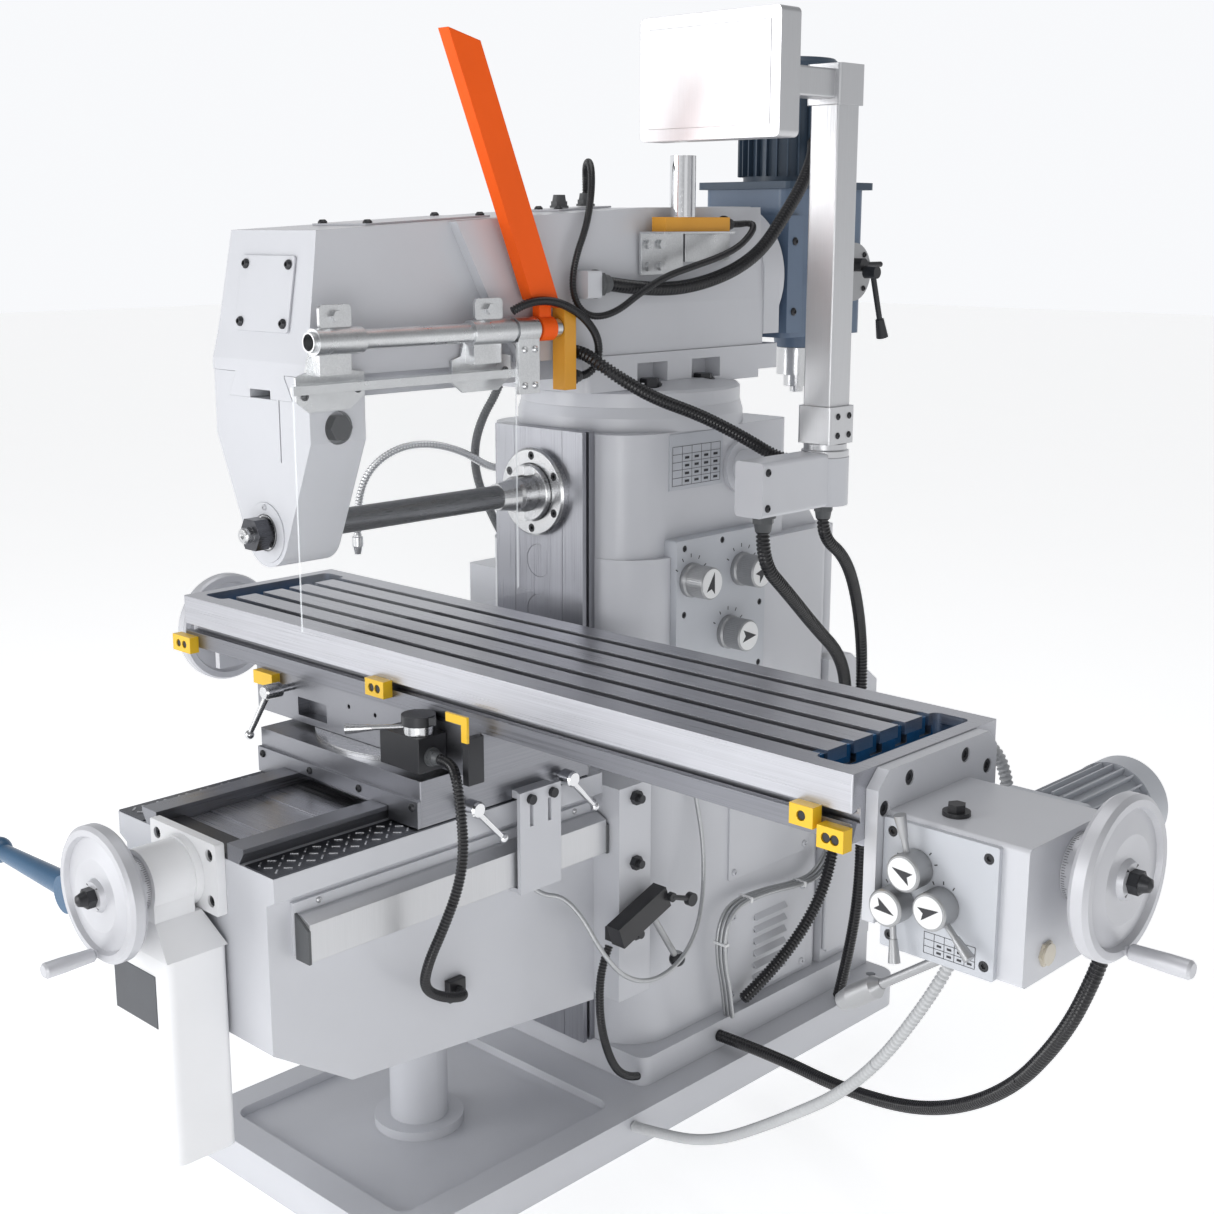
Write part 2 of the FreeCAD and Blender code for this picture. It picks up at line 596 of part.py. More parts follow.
def gland(x, y, z, axis, radius):
    """Cable gland: flange, hexagon body and a round dome nut."""
    start = V(x, y, z)
    flange = rod(x, y, z, axis, radius * 1.35, 4)
    body_at = start + axis * 4
    body = hexagon(body_at.x, body_at.y, body_at.z, axis, radius * 1.2, radius * 0.6)
    nut_at = start + axis * (4 + radius * 0.6)
    nut = taper(nut_at.x, nut_at.y, nut_at.z, axis, radius, radius * 0.85, radius * 0.9)
    return fuse(flange, body, nut)


# ---- arm guard on the ram -------------------------------------------------------------------
TUBE_R = 16.0
CLAMP_SPOTS = ((-640, 1437), (-320, 1446))


def guard_rail():
    """Tube along the ram, its two clamps with their plates, and the orange post."""
    rail = cut(rod(GUARD_X, -648, GUARD_Z, Y_AXIS, TUBE_R, 533),
               rod(GUARD_X, -649, GUARD_Z, Y_AXIS, TUBE_R - 3, 535))
    pieces = [rail]
    for y, z0 in CLAMP_SPOTS:
        shell = cut(rod(GUARD_X, y, GUARD_Z, Y_AXIS, TUBE_R + 5, 92),
                    rod(GUARD_X, y - 1, GUARD_Z, Y_AXIS, TUBE_R + FIT, 94))
        ear = rounded_box(GUARD_X - 3, GUARD_X + 3, y + 12, y + 74, GUARD_Z + TUBE_R + 3, GUARD_Z + 56, 8,
                          X_AXIS)
        web = box(137.5, GUARD_X - 8, y + 18, y + 80, 1494, 1532)
        shell = cut(fuse(shell, ear, cut(web, rod(GUARD_X, y, GUARD_Z, Y_AXIS, TUBE_R + 2, 92))),
                    rod(GUARD_X, y - 1, GUARD_Z, Y_AXIS, TUBE_R + FIT, 94))
        bolt = hexagon(GUARD_X + 3, y + 43, GUARD_Z + 38, X_AXIS, 10, 8)
        nut = hexagon(GUARD_X - 11, y + 43, GUARD_Z + 38, X_AXIS, 10, 8)
        outline = [(y - 12, z0 + 18), (y + 12, z0), (y + 92, z0), (y + 122, z0 + 22), (y + 122, z0 + 58),
                   (y + 95, z0 + 62), (y + 84, z0 + 92), (y + 16, z0 + 92), (y + 8, z0 + 62),
                   (y - 12, z0 + 56)]
        plate = prism_x(outline, 132.5, 137.5)
        screws = [round_head(137.5, y + sy, z0 + sz, X_AXIS, 7, 5) for sy, sz in ((4, 26), (108, 32))]
        pieces += [fuse(plate, shell), bolt, nut] + screws
    write("guard_rail", *pieces)


def guard_post():
    """Orange box-section post that leans to the front."""
    lean = math.radians(22.6)
    y_low, z_low = -150.0, 1590.0
    rise = 430.0
    shift = rise * math.tan(lean)
    outline = [(y_low - 34, z_low + 8), (y_low + 34, z_low - 8), (y_low + 34 - shift, z_low + rise - 8),
               (y_low - 34 - shift, z_low + rise + 8)]
    post = prism_x(outline, GUARD_X - 14, GUARD_X + 11)
    foot = box(GUARD_X - 10, GUARD_X + 7, y_low - 14, y_low + 14, GUARD_Z + TUBE_R + 4, z_low + 6)
    collar = rod(GUARD_X, y_low - 16, GUARD_Z, Y_AXIS, TUBE_R + 5, 34)
    body = fuse(post, foot, collar)
    write("guard_post", cut(body, rod(GUARD_X, y_low - 60, GUARD_Z, Y_AXIS, TUBE_R + FIT, 120)))


SLEEVE_FRONT = -222.0
SLEEVE_BACK = -173.0


def guard_sleeve():
    """Sleeve that turns on the tube, with the steel bracket that carries the shield."""
    sleeve = rod(GUARD_X, SLEEVE_FRONT, GUARD_Z, Y_AXIS, TUBE_R + 6, SLEEVE_BACK - SLEEVE_FRONT)
    arm = box(GUARD_X + 8, GUARD_X + 16, SLEEVE_FRONT, SLEEVE_BACK, 1440, GUARD_Z)
    body = fuse(sleeve, arm)
    body = cut(body, rod(GUARD_X, SLEEVE_FRONT - 1, GUARD_Z, Y_AXIS, TUBE_R + FIT, 60))
    top_strip = box(GUARD_X + 8, GUARD_X + 12, -690, SLEEVE_FRONT, 1470, 1484)
    body = fuse(body, top_strip)
    screws = [round_head(GUARD_X + 16, y, z, X_AXIS, 6, 5) for y in (-208, -184) for z in (1454, 1515)]
    write("guard_sleeve", body, *screws)


def guard_shield():
    outer_x = GUARD_X + 12.2
    sheet = box(outer_x, outer_x + 4, -690, -228, 1106, 1488)
    lip = box(outer_x, outer_x + 38, -690, -228, 1102, 1106)
    write("guard_shield", fuse(sheet, lip))


def safety_switches():
    """Two yellow interlock switches on their brackets, each with a gland."""
    body = box(GUARD_X - 15, GUARD_X + 15, -111, -83, 1440, 1584)
    mount = box(145.7, GUARD_X - 15, -104, -98, 1496, 1560)
    pieces = [body, mount, gland(GUARD_X, -83, 1461, Y_AXIS, 12)]
    side = 145.8
    angle = fuse(box(side, side + 5, 120, 236, 1633, 1707), box(side, side + 60, 120, 322, 1707, 1711))
    skirt = box(side, side + 5, 242, 372, 1655, 1706)
    pieces += [angle, skirt, box(side + 10, side + 44, 143, 325, 1711, 1737)]
    pieces += [rod(side + 27, 208, 1737, Z_AXIS, 24, 110), gland(side + 27, 325, 1724, Y_AXIS, 12)]
    for y in (138, 172):
        for z in (1648, 1688):
            pieces.append(hexagon(side + 5, y, z, X_AXIS, 9, 7))
    write("safety_switches", *pieces)


# ---- arbor support -----------------------------------------------------------------------------
def arbor_support():
    half = 129.5
    top = WAY_Z - GAP
    nose_r = 58.0
    dx = half
    dz = 1385 - SPINDLE_Z
    reach = math.hypot(dx, dz)
    aim = math.atan2(dz, dx) - math.acos(nose_r / reach)
    tx = nose_r * math.cos(aim)
    tz = SPINDLE_Z + nose_r * math.sin(aim)
    points = [V(-tx, SUPPORT_FRONT, tz), V(-half, SUPPORT_FRONT, 1385), V(-half, SUPPORT_FRONT, top),
              V(half, SUPPORT_FRONT, top), V(half, SUPPORT_FRONT, 1385), V(tx, SUPPORT_FRONT, tz)]
    edges = [Part.LineSegment(a, b).toShape() for a, b in zip(points, points[1:])]
    edges.append(Part.Arc(points[-1], V(0, SUPPORT_FRONT, SPINDLE_Z - nose_r), points[0]).toShape())
    body = Part.Face(Part.Wire(edges)).extrude(V(0, SUPPORT_BACK - SUPPORT_FRONT, 0))
    slot = prism_y([(-DOVE_NECK - GAP, top + 1), (-DOVE_NECK - GAP, 1486 + GAP),
                    (-DOVE_HALF - GAP, DOVE_BOTTOM - GAP),
                    (DOVE_HALF + GAP, DOVE_BOTTOM - GAP), (DOVE_NECK + GAP, 1486 + GAP),
                    (DOVE_NECK + GAP, top + 1)],
                   SUPPORT_FRONT - 1, SUPPORT_BACK + 1)
    slit = box(48, 51, SUPPORT_FRONT - 1, SUPPORT_BACK + 1, 1350, DOVE_BOTTOM)
    counterbore = rod(half - 14, -566, 1408, X_AXIS, 27, 20)
    bore = rod(0, SUPPORT_FRONT - 1, SPINDLE_Z, Y_AXIS, 31, 120)
    body = cut(body, slot, slit, counterbore, bore)
    boss = cut(rod(0, SUPPORT_FRONT - 2, SPINDLE_Z, Y_AXIS, 50, 3),
               rod(0, SUPPORT_FRONT - 3, SPINDLE_Z, Y_AXIS, 31, 5))
    body = fuse(body, boss)
    bolt = hexagon(half - 13.8, -566, 1408, X_AXIS, 22, 22)
    bush = turned([(ARBOR_R + FIT, 0), (29, 0), (29, 6), (31 - 0.02, 6), (31 - 0.02, 112),
                   (ARBOR_R + FIT, 112)],
                  V(0, -625, SPINDLE_Z), Y_AXIS)
    cup = round_head(0, SUPPORT_FRONT - 2, SPINDLE_Z + 42, V(0, -1, 0), 5, 4)
    write("arbor_support", body, bolt, bush, cup)


# ---- vertical head ------------------------------------------------------------------------------
def vertical_head():
    disc = turned([(0, 0), (126, 0), (126, 22), (100, 48), (0, 48)], V(0, 550.6, HEAD_Z), Y_AXIS)
    casting = rounded_box(-112, 112, 600, 874, 1494, 1795, 22)
    cheek = box(-125, 125, 590, 640, 1505, 1742)
    chin = taper(0, HEAD_SPINDLE_Y, 1463, Z_AXIS, 50, 54, 31)
    flange = rounded_box(-128, 128, 592, 888, 1795, 1810, 20)
    body = fuse(disc, casting, cheek, chin, flange)
    body = cut(body, rod(0, HEAD_SPINDLE_Y, 1440, Z_AXIS, 30.06, 240))
    quill = turned([(30.06, 1403), (45, 1403), (45, 1462), (30.06, 1462)], V(0, HEAD_SPINDLE_Y, 0), Z_AXIS)
    disc_cover = rod(112, 808, 1625, X_AXIS, 61, 22)
    screws = []
    for k in range(4):
        turn = math.radians(45 + 90 * k)
        screws.append(round_head(134, 808 + 50 * math.cos(turn), 1625 + 50 * math.sin(turn), X_AXIS, 6, 4))
    for z in (1548, 1690):
        screws.append(round_head(125, 612, z, X_AXIS, 8, 5))
    lock = fuse(rod(134, 808, 1640, X_AXIS, 14, 26), rod(147, 808, 1640, Y_AXIS, 6, 78))
    write("vertical_head", body, quill, disc_cover, lock, head_motor(), *screws)


def head_motor():
    drum = rod(0, 740, 1810, Z_AXIS, 92, 190)
    for k in range(28):
        turn = 360.0 / 28 * k
        fin = box(88, 104, -1.5, 1.5, 1822, 1982)
        fin.translate(V(0, 740, 0))
        drum = drum.fuse(spun(fin, 0, 740, 0, Z_AXIS, turn))
    hood = turned([(0, 0), (106, 0), (106, 50), (96, 60), (0, 60)], V(0, 740, 2000), Z_AXIS)
    terminal = rounded_box(90, 150, 700, 780, 1860, 1930, 6)
    return fuse(drum, hood, terminal)


def head_spindle():
    outline = [(0, 1364), (15, 1364), (15, 1377), (29, 1377), (29, 1402.5), (30, 1402.5), (30, 1660),
               (0, 1660)]
    body = turned(outline, V(0, HEAD_SPINDLE_Y, 0), Z_AXIS)
    bore = taper(0, HEAD_SPINDLE_Y, 1363, Z_AXIS, 12, 8, 60)
    write("head_spindle", cut(body, bore))


def head_lever():
    hub = rod(164.3, 808, 1625, X_AXIS, 13, 30)
    arm = rod(182, 808, 1625, V(0, 0.32, -1).normalize(), 6, 112)
    tip = V(182, 808, 1625) + V(0, 0.32, -1).normalize() * 104
    grip = taper(tip.x, tip.y, tip.z, V(0, 0.32, -1).normalize(), 9, 13, 40)
    write("head_lever", fuse(hub, arm, grip))


# ---- knee ----------------------------------------------------------------------------------------
KNEE_BACK = -2.3


def knee():
    side_outline = [(KNEE_FRONT, LIP_TOP), (KNEE_FRONT, 430), (-640, 330), (-62, 275), (-62, LIP_TOP)]
    main = prism_x(side_outline, -KNEE_HALF, KNEE_HALF)
    lip_outline = [(-LIP_HALF, LIP_TOP), (-LIP_HALF, 696), (-KNEE_HALF + 2, 684), (KNEE_HALF - 2, 684),
                   (LIP_HALF, 696),
                   (LIP_HALF, LIP_TOP)]
    lips = prism_y(lip_outline, KNEE_FRONT, -62)
    rail_outline = [(104, LIP_TOP - 1), (104, KNEE_TOP), (148, KNEE_TOP), (148, KNEE_TOP - 8),
                    (134, LIP_TOP - 1)]
    rails = [prism_y(rail_outline, KNEE_FRONT, -62),
             prism_y([(-x, z) for x, z in rail_outline], KNEE_FRONT, -62)]
    body = fuse(main, lips, *rails)
    body = cut(body, box(-100, 100, ELEVATOR_Y - 100, ELEVATOR_Y + 100, 200, 610))
    body = cut(body, rod(0, KNEE_FRONT - 1, CROSS_Z, Y_AXIS, 20, 640))
    flange = prism_x([(-62, 290), (24, 290), (24, 712), (-62, 712)], -FLANGE_HALF, FLANGE_HALF)
    head = box(-KNEE_HALF + 40, KNEE_HALF - 40, -62, KNEE_BACK, 700, KNEE_TOP)
    slide = cut(fuse(flange, head), box(-WAYS_HALF - GAP, WAYS_HALF + GAP, KNEE_BACK, 60, 200, 800))
    screws = []
    for side in (-1, 1):
        for z in (700 - 12, 560, 420):
            at_x = FLANGE_HALF if side > 0 else -FLANGE_HALF
            stud = rod(at_x, -20, z, V(side, 0, 0), 8, 20)
            nut = hexagon(at_x, -20, z, V(side, 0, 0), 14, 11)
            screws.append(fuse(nut, stud))
    write("knee", body, slide, *screws)


def knee_covers():
    """Tread plates beside the ways and the nested cover plates between them."""
    pieces = []
    for side in (-1, 1):
        x0, x1 = sorted((side * 149, side * (LIP_HALF - 1)))
        plate = box(x0, x1, KNEE_FRONT + 1, -100, LIP_TOP, LIP_TOP + 2.5)
        bars = []
        for row in range(30):
            for col in range(3):
                y = KNEE_FRONT + 20 + 22 * row
                x = side * (164 + 22 * col)
                turn = 45 if (row + col) % 2 else -45
                bar = box(x - 7, x + 7, y - 1.5, y + 1.5, LIP_TOP + 2.5, LIP_TOP + 3.6)
                bars.append(spun(bar, x, y, 0, Z_AXIS, turn))
        pieces += [plate] + bars
    level = LIP_TOP
    for k, (y0, y1) in enumerate(((KNEE_FRONT + 55, -520), (-690, -410), (-585, -300), (-470, -100))):
        pieces.append(box(-103.5, 103.5, y0, y1, level + 2.6 * k, level + 2.6 * k + 2.5))
    pieces.append(box(-103.5, 103.5, KNEE_FRONT + 1, KNEE_FRONT + 54, level, level + 9))
    write("knee_covers", *pieces)


PEDESTAL_FRONT = -912.0


def crossfeed_bracket():
    """Bearing flange and housing of the cross feed screw on the white pedestal."""
    flange = rounded_box(-96, 96, -812, KNEE_FRONT - GAP, 640, 762, 4, Y_AXIS)
    sockets = []
    for x in (-76, 76):
        for z in (662, 740):
            flange = cut(flange, rod(x, -813, z, Y_AXIS, 10, 12))
            head = rod(x, -808, z, Y_AXIS, 9.4, 7)
            sockets.append(cut(head, hexagon(x, -809, z, Y_AXIS, 5, 5)))
    collar = rod(0, -826, CROSS_Z, Y_AXIS, 60, 14)
    housing = rod(0, -900, CROSS_Z, Y_AXIS, 56, 74)
    neck = box(-50, 50, -900, -826, 640, CROSS_Z)
    shoulder = Part.makeLoft([Part.makePolygon([V(-110, PEDESTAL_FRONT, 592), V(100, PEDESTAL_FRONT, 592),
                                                V(100, -800, 592), V(-110, -800, 592),
                                                V(-110, PEDESTAL_FRONT, 592)]),
                              Part.makePolygon([V(-50, -900, 642), V(50, -900, 642), V(50, -814, 642),
                                                V(-50, -814, 642),
                                                V(-50, -900, 642)])], True, True)
    block = rounded_box(-110, 100, PEDESTAL_FRONT, -800, 240, 592, 14)
    body = fuse(collar, housing, neck, shoulder, block)
    body = cut(body, rod(0, -950, CROSS_Z, Y_AXIS, 14 + FIT, 200))
    flange = cut(flange, rod(0, -950, CROSS_Z, Y_AXIS, 14 + FIT, 200), body)
    bearer = box(-240, -110, -852, -838, 596, 644)
    pin = rod(-215, -916, 620, Y_AXIS, 12, 64)
    nameplate = box(-62, 62, PEDESTAL_FRONT - 1.2, PEDESTAL_FRONT, 470, 560)
    write("crossfeed_bracket", flange, body, fuse(bearer, pin), nameplate, *sockets)


def knee_sensors():
    """Linear scale along the knee's right side and the limit switch on the rear flange."""
    case_outline = [(212, 586), (245, 586), (245, 650), (222, 660), (212, 660)]
    case = prism_y(case_outline, -743, -70)
    strip = box(KNEE_HALF, 212, -750, -66, 590, 679)
    ends = [prism_y([(212, 584), (247, 584), (247, 640), (212, 662)], y, y + 5) for y in (-748, -70)]
    screws = [round_head(212, y, 671, X_AXIS, 5, 4) for y in (-700, -400, -120)]
    switch = box(290, 322, -70, 66, -20, 24)
    switch = spun(switch, 0, 0, 0, X_AXIS, 20)
    switch.translate(V(0, -42, 470))
    stand = box(FLANGE_HALF, 291, -100, -62, 430, 456)
    arm = rod(328, 22, 494, V(0, 1, -0.35).normalize(), 5, 58)
    hub = rod(322, 22, 494, X_AXIS, 9, 10)
    roller = rod(322, 76, 474, X_AXIS, 13, 12)
    write("knee_sensors", strip, case, fuse(cut(switch, stand), stand), fuse(arm, hub, roller), *ends,
          *screws)


def elevating_screw():
    write("elevating_screw", rod(0, ELEVATOR_Y, 275, Z_AXIS, ELEVATOR_R, 335))


def wheel_profile():
    """Rim, dished web and hub of a hand wheel, from the hub's inner face outwards."""
    return [(14, 0), (24, 0), (26, 14), (60, 20), (WHEEL_R - 20, 8), (WHEEL_R - 16, 0), (WHEEL_R - 4, 0),
            (WHEEL_R, 6), (WHEEL_R, 22), (WHEEL_R - 6, 28), (WHEEL_R - 16, 28), (WHEEL_R - 20, 20),
            (60, 27), (28, 24), (24, 32), (14, 32)]


def hand_wheel(origin, axis, side):
    """Wheel with dial, hub nut and turning handle; side points to the handle on the rim."""
    wheel = turned(wheel_profile(), origin + axis * 45, axis)
    dial = turned([(14, GAP), (47, GAP), (47, 22), (42, 30), (24, 34), (24, 45), (14, 45)], origin, axis)
    shaft = turned([(0, GAP), (14, GAP), (14, 82), (0, 82)], origin, axis)
    nut_at = origin + axis * 77
    nut = hexagon(nut_at.x, nut_at.y, nut_at.z, axis, 17, 14)
    dome = turned([(0, 14), (13, 14), (9, 26), (0, 30)], nut_at, axis)
    grip_at = origin + side * (WHEEL_R - 12) + axis * 72
    grip = turned([(0, 0), (7, 0), (7, 4), (11, 8), (13, 60), (13, 88), (10, 92), (0, 92)], grip_at, axis)
    return fuse(wheel, dial, shaft, nut, dome, grip)


def crossfeed_wheel():
    wheel = hand_wheel(V(0, -900, CROSS_Z), V(0, -1, 0), V(-0.08, 0, -1).normalize())
    screw = rod(0, -901, CROSS_Z, Y_AXIS, 14, 740)
    write("crossfeed_wheel", fuse(wheel, screw))


def knee_lever():
    """Blue feed lever on the left of the pedestal."""
    hub = rod(-215, -914, 620, Y_AXIS, 33, 54)
    arm = taper(-240, -888, 620, V(-1, 0, 0), 22, 15, 240)
    knob = Part.makeSphere(24, V(-492, -888, 620), V(-1, 0, 0))
    body = cut(fuse(hub, arm, knob), rod(-215, -930, 620, Y_AXIS, 12 + FIT, 90))
    write("knee_lever", body)


LOCK_Y = 8.0
LOCK_Z = 462.0


def lock_lever():
    """Ball-ended lever that clamps the knee to the column."""
    hub = rod(FLANGE_HALF + GAP, LOCK_Y, LOCK_Z, X_AXIS, 15, 16)
    aim = V(0, 88, -134).normalize()
    arm = rod(FLANGE_HALF + 8.5, LOCK_Y, LOCK_Z, aim, 6.5, 150)
    end = V(FLANGE_HALF + 8.5, LOCK_Y, LOCK_Z) + aim * 156
    write("lock_lever", fuse(hub, arm, Part.makeSphere(16, end, aim)))


# ---- saddle ---------------------------------------------------------------------------------------
SADDLE_FRONT = -497.0
SADDLE_BACK = -95.0


def lower_saddle():
    body = box(-LIP_HALF, LIP_HALF, SADDLE_FRONT, SADDLE_BACK, LIP_TOP + 5, SADDLE_TOP)
    body = rounded(body, 4, Z_AXIS)
    body = cut(body, box(-149.5, 149.5, SADDLE_FRONT - 1, SADDLE_BACK + 1, LIP_TOP, KNEE_TOP + GAP))
    ring = cut(rod(0, TABLE_Y, SADDLE_TOP, Z_AXIS, 222, 7.5),
               box(-300, 300, -700, SADDLE_FRONT + 1, 800, 900))
    ring = cut(ring, rod(0, TABLE_Y, SADDLE_TOP - 1, Z_AXIS, 120, 10))
    wiper = box(-LIP_HALF, LIP_HALF, SADDLE_FRONT - 7, SADDLE_FRONT, LIP_TOP + 5, 788)
    wiper = cut(wiper, box(-149.5, 149.5, SADDLE_FRONT - 8, SADDLE_FRONT + 1, LIP_TOP, KNEE_TOP + GAP))
    screws = [round_head(x, SADDLE_FRONT - 7, 776, V(0, -1, 0), 7, 4) for x in (-212, -70, 70, 212)]
    plate = box(250, 258, -300, -200, 572, 760)
    for y in (-276, -232):
        plate = cut(plate, box(249, 259, y, y + 8, 694, 736))
    foot = box(214, 250, -296, -204, 572, 580)
    arm = box(LIP_HALF, 250, -290, -210, 744, 758)
    studs = [rod(258, y, 745, X_AXIS, 9, 8) for y in (-275, -222)]
    write("lower_saddle", body, ring, wiper, fuse(plate, foot, arm), *screws, *studs)


CLAMP_AT = ((-400, 757), (-172, 757))


def clamp_lever(name, x, y, z, aim, length):
    """Ratchet clamping lever: a hub on its stud and a slim arm with a round end."""
    hub = turned([(0, GAP), (9, GAP), (9, 10), (15, 12), (15, 34), (12, 38), (0, 38)], V(x, y, z), X_AXIS)
    arm_start = V(x + 22, y, z)
    arm = taper(arm_start.x, arm_start.y, arm_start.z, aim, 7, 5, length)
    ball = Part.makeSphere(9, arm_start + aim * length, aim)
    write(name, fuse(hub, arm, ball))


# ---- swivel saddle ---------------------------------------------------------------------------------
def swivel_saddle():
    body = rounded_box(-SWIVEL_HALF, SWIVEL_HALF, -440, -90, SWIVEL_BOTTOM, 915.7, 5)
    dove = [(-107.3 + TABLE_Y, 885.7), (-90.3 + TABLE_Y, 916.5), (90.3 + TABLE_Y, 916.5),
            (107.3 + TABLE_Y, 885.7)]
    body = cut(body, prism_x(dove, -SWIVEL_HALF - 1, SWIVEL_HALF + 1))
    body = cut(body, box(-SWIVEL_HALF - 1, SWIVEL_HALF + 1, TABLE_Y - 36, TABLE_Y + 36, 868, 890))
    body = cut(body, box(-186, -100, -441, -415, 843, 877))
    nut = box(-45, 45, TABLE_Y - 26, TABLE_Y + 26, 868, 928)
    nut = cut(nut, rod(-46, TABLE_Y, SCREW_Z, X_AXIS, 19 + FIT, 92))
    wedge = rod(0, TABLE_Y, SADDLE_TOP + GAP, Z_AXIS, 119, SWIVEL_BOTTOM - SADDLE_TOP - GAP)
    body = fuse(body, wedge)
    stop = box(-299, -240, -458, -440, 886, 911)
    bracket = box(308, 322, -474, -440, 831, 911)
    tag = fuse(box(273, 325, -479, -474, 934, 949), box(311, 325, -479, -474, 905, 940))
    holes = [rod(x, -441, z, Y_AXIS, 4, 8) for x, z in ((-34, 888), (40, 887), (120, 886))]
    body = cut(body, *holes)
    write("swivel_saddle", body, nut, stop, bracket, tag)


TRIP_X = 200.0
TRIP_Y = -475.0


def feed_trip_unit():
    """Switch block of the table feed, its turning cap's fixed cover and the cable outlet."""
    block = rounded_box(129, 230, -502, -440.3, 837, 897, 2)
    post = rod(TRIP_X, TRIP_Y, 897, Z_AXIS, 11, 16)
    cap = rod(TRIP_X, TRIP_Y, 913, Z_AXIS, 29, 17)
    pointer = prism_z([(TRIP_X, TRIP_Y - 29), (TRIP_X + 38, TRIP_Y + 6), (TRIP_X + 20, TRIP_Y + 20)], 916,
                      929)
    write("feed_trip_unit", block, fuse(post, cap, pointer), gland(230, -474, 862, X_AXIS, 12))


def feed_trip_lever():
    ring = cut(rod(TRIP_X, TRIP_Y, 897 + GAP, Z_AXIS, 26, 15.4),
               rod(TRIP_X, TRIP_Y, 896, Z_AXIS, 11 + FIT, 20))
    aim = V(-1, -0.72, -0.1).normalize()
    start = V(TRIP_X - 16, TRIP_Y - 12, 907.5)
    arm = taper(start.x, start.y, start.z, aim, 4, 4.6, 62)
    grip_at = start + aim * 60
    grip = taper(grip_at.x, grip_at.y, grip_at.z, aim, 5, 10, 46)
    write("feed_trip_lever", fuse(ring, arm, grip))


def swivel_clamp():
    """Ratchet lever on the front of the swivel saddle."""
    x, y, z = -200.0, -440.0, 894.0
    out = V(0, -1, 0)
    hub = turned([(0, GAP), (7, GAP), (7, 28), (14, 30), (14, 62), (11, 66), (0, 66)], V(x, y, z), out)
    aim = V(-0.42, -0.25, -1).normalize()
    start = V(x, y - 54, z)
    arm = taper(start.x, start.y, start.z, aim, 6.5, 5, 94)
    write("swivel_clamp", fuse(hub, arm, Part.makeSphere(9, start + aim * 94, aim)))


# ---- table ------------------------------------------------------------------------------------------
TABLE_LEFT = TABLE_X - TABLE_LENGTH / 2
TABLE_RIGHT = TABLE_X + TABLE_LENGTH / 2
TABLE_FRONT = TABLE_Y - TABLE_WIDTH / 2
TABLE_BACK = TABLE_Y + TABLE_WIDTH / 2
TABLE_BOTTOM = TABLE_TOP - TABLE_THICK
GROOVE_Z = 952.0


def slot_centres():
    return [TABLE_Y + SLOT_PITCH * (k - (SLOT_COUNT - 1) / 2) for k in range(SLOT_COUNT)]


def table():
    body = rounded_box(TABLE_LEFT, TABLE_RIGHT, TABLE_FRONT, TABLE_BACK, TABLE_BOTTOM, TABLE_TOP, 3)
    dove = prism_x([(TABLE_Y - 90, TABLE_BOTTOM), (TABLE_Y - 107, 886), (TABLE_Y + 107, 886),
                    (TABLE_Y + 90, TABLE_BOTTOM)],
                   TABLE_LEFT + 30, TABLE_RIGHT - 30)
    x0 = TABLE_X - SLOT_HALF_LENGTH
    x1 = TABLE_X + SLOT_HALF_LENGTH
    for y in slot_centres():
        mouth = box(x0 - 3, x1 + 3, y - SLOT_WIDTH / 2, y + SLOT_WIDTH / 2, TABLE_TOP - SLOT_DEPTH,
                    TABLE_TOP + 1)
        foot = box(x0 - 3, x1 + 3, y - SLOT_FOOT_WIDTH / 2, y + SLOT_FOOT_WIDTH / 2, TABLE_TOP - SLOT_DEPTH,
                   TABLE_TOP - SLOT_DEPTH + SLOT_FOOT_HEIGHT)
        body = cut(body, mouth, foot)
    for side in (-1, 1):
        a, b = sorted((TABLE_X + side * (SLOT_HALF_LENGTH + 2), TABLE_X + side * TROUGH_HALF_LENGTH))
        body = cut(body, rounded_box(a, b, TABLE_Y - 150, TABLE_Y + 150, TABLE_TOP - 34, TABLE_TOP + 1, 14))
    body = cut(body, box(TABLE_LEFT - 1, TABLE_RIGHT + 1, TABLE_FRONT - 1, TABLE_FRONT + 12, GROOVE_Z - 7,
                         GROOVE_Z + 7))
    body = cut(body, box(TABLE_LEFT - 1, TABLE_RIGHT + 1, TABLE_FRONT + 12, TABLE_FRONT + 20, GROOVE_Z - 11,
                         GROOVE_Z + 11))
    tunnel = box(TABLE_LEFT - 1, TABLE_RIGHT + 1, TABLE_Y - 30, TABLE_Y + 30, 880, 932)
    body = cut(body, tunnel)
    dove = cut(dove, tunnel)
    stops = []
    for y in slot_centres():
        stops.append(box(x1 - 22, x1 - 4, y - 8.8, y + 8.8, TABLE_TOP - SLOT_DEPTH, TABLE_TOP - 6))
    write("table", body, dove, *stops)


def trip_dogs():
    """Yellow stops screwed to the front of the table."""
    pieces = []
    for x0, x1, z0, z1 in ((-560, -500, 906, 938), (46, 96, 932, 962), (966, 1006, 930, 960),
                           (1013, 1057, 908, 940)):
        dog = box(x0, x1, TABLE_FRONT - 20, TABLE_FRONT, z0, z1)
        count = 1 if x1 - x0 < 43 else 2
        for k in range(count):
            x = x0 + (x1 - x0) * (k + 1) / (count + 1)
            z = (z0 + z1) / 2
            dog = cut(dog, rod(x, TABLE_FRONT - 21, z, Y_AXIS, 7.5, 6))
            pieces.append(rod(x, TABLE_FRONT - 18, z, Y_AXIS, 6.5, 3))
        pieces.append(dog)
    write("trip_dogs", *pieces)


BOX_LEFT = 1075.0
BOX_RIGHT = 1290.0
BOX_FRONT = -391.0
BOX_BACK = -184.0
BOX_LOW = 765.0
BOX_TOP = 955.0
FEED_PANEL_Y = BOX_FRONT - 8


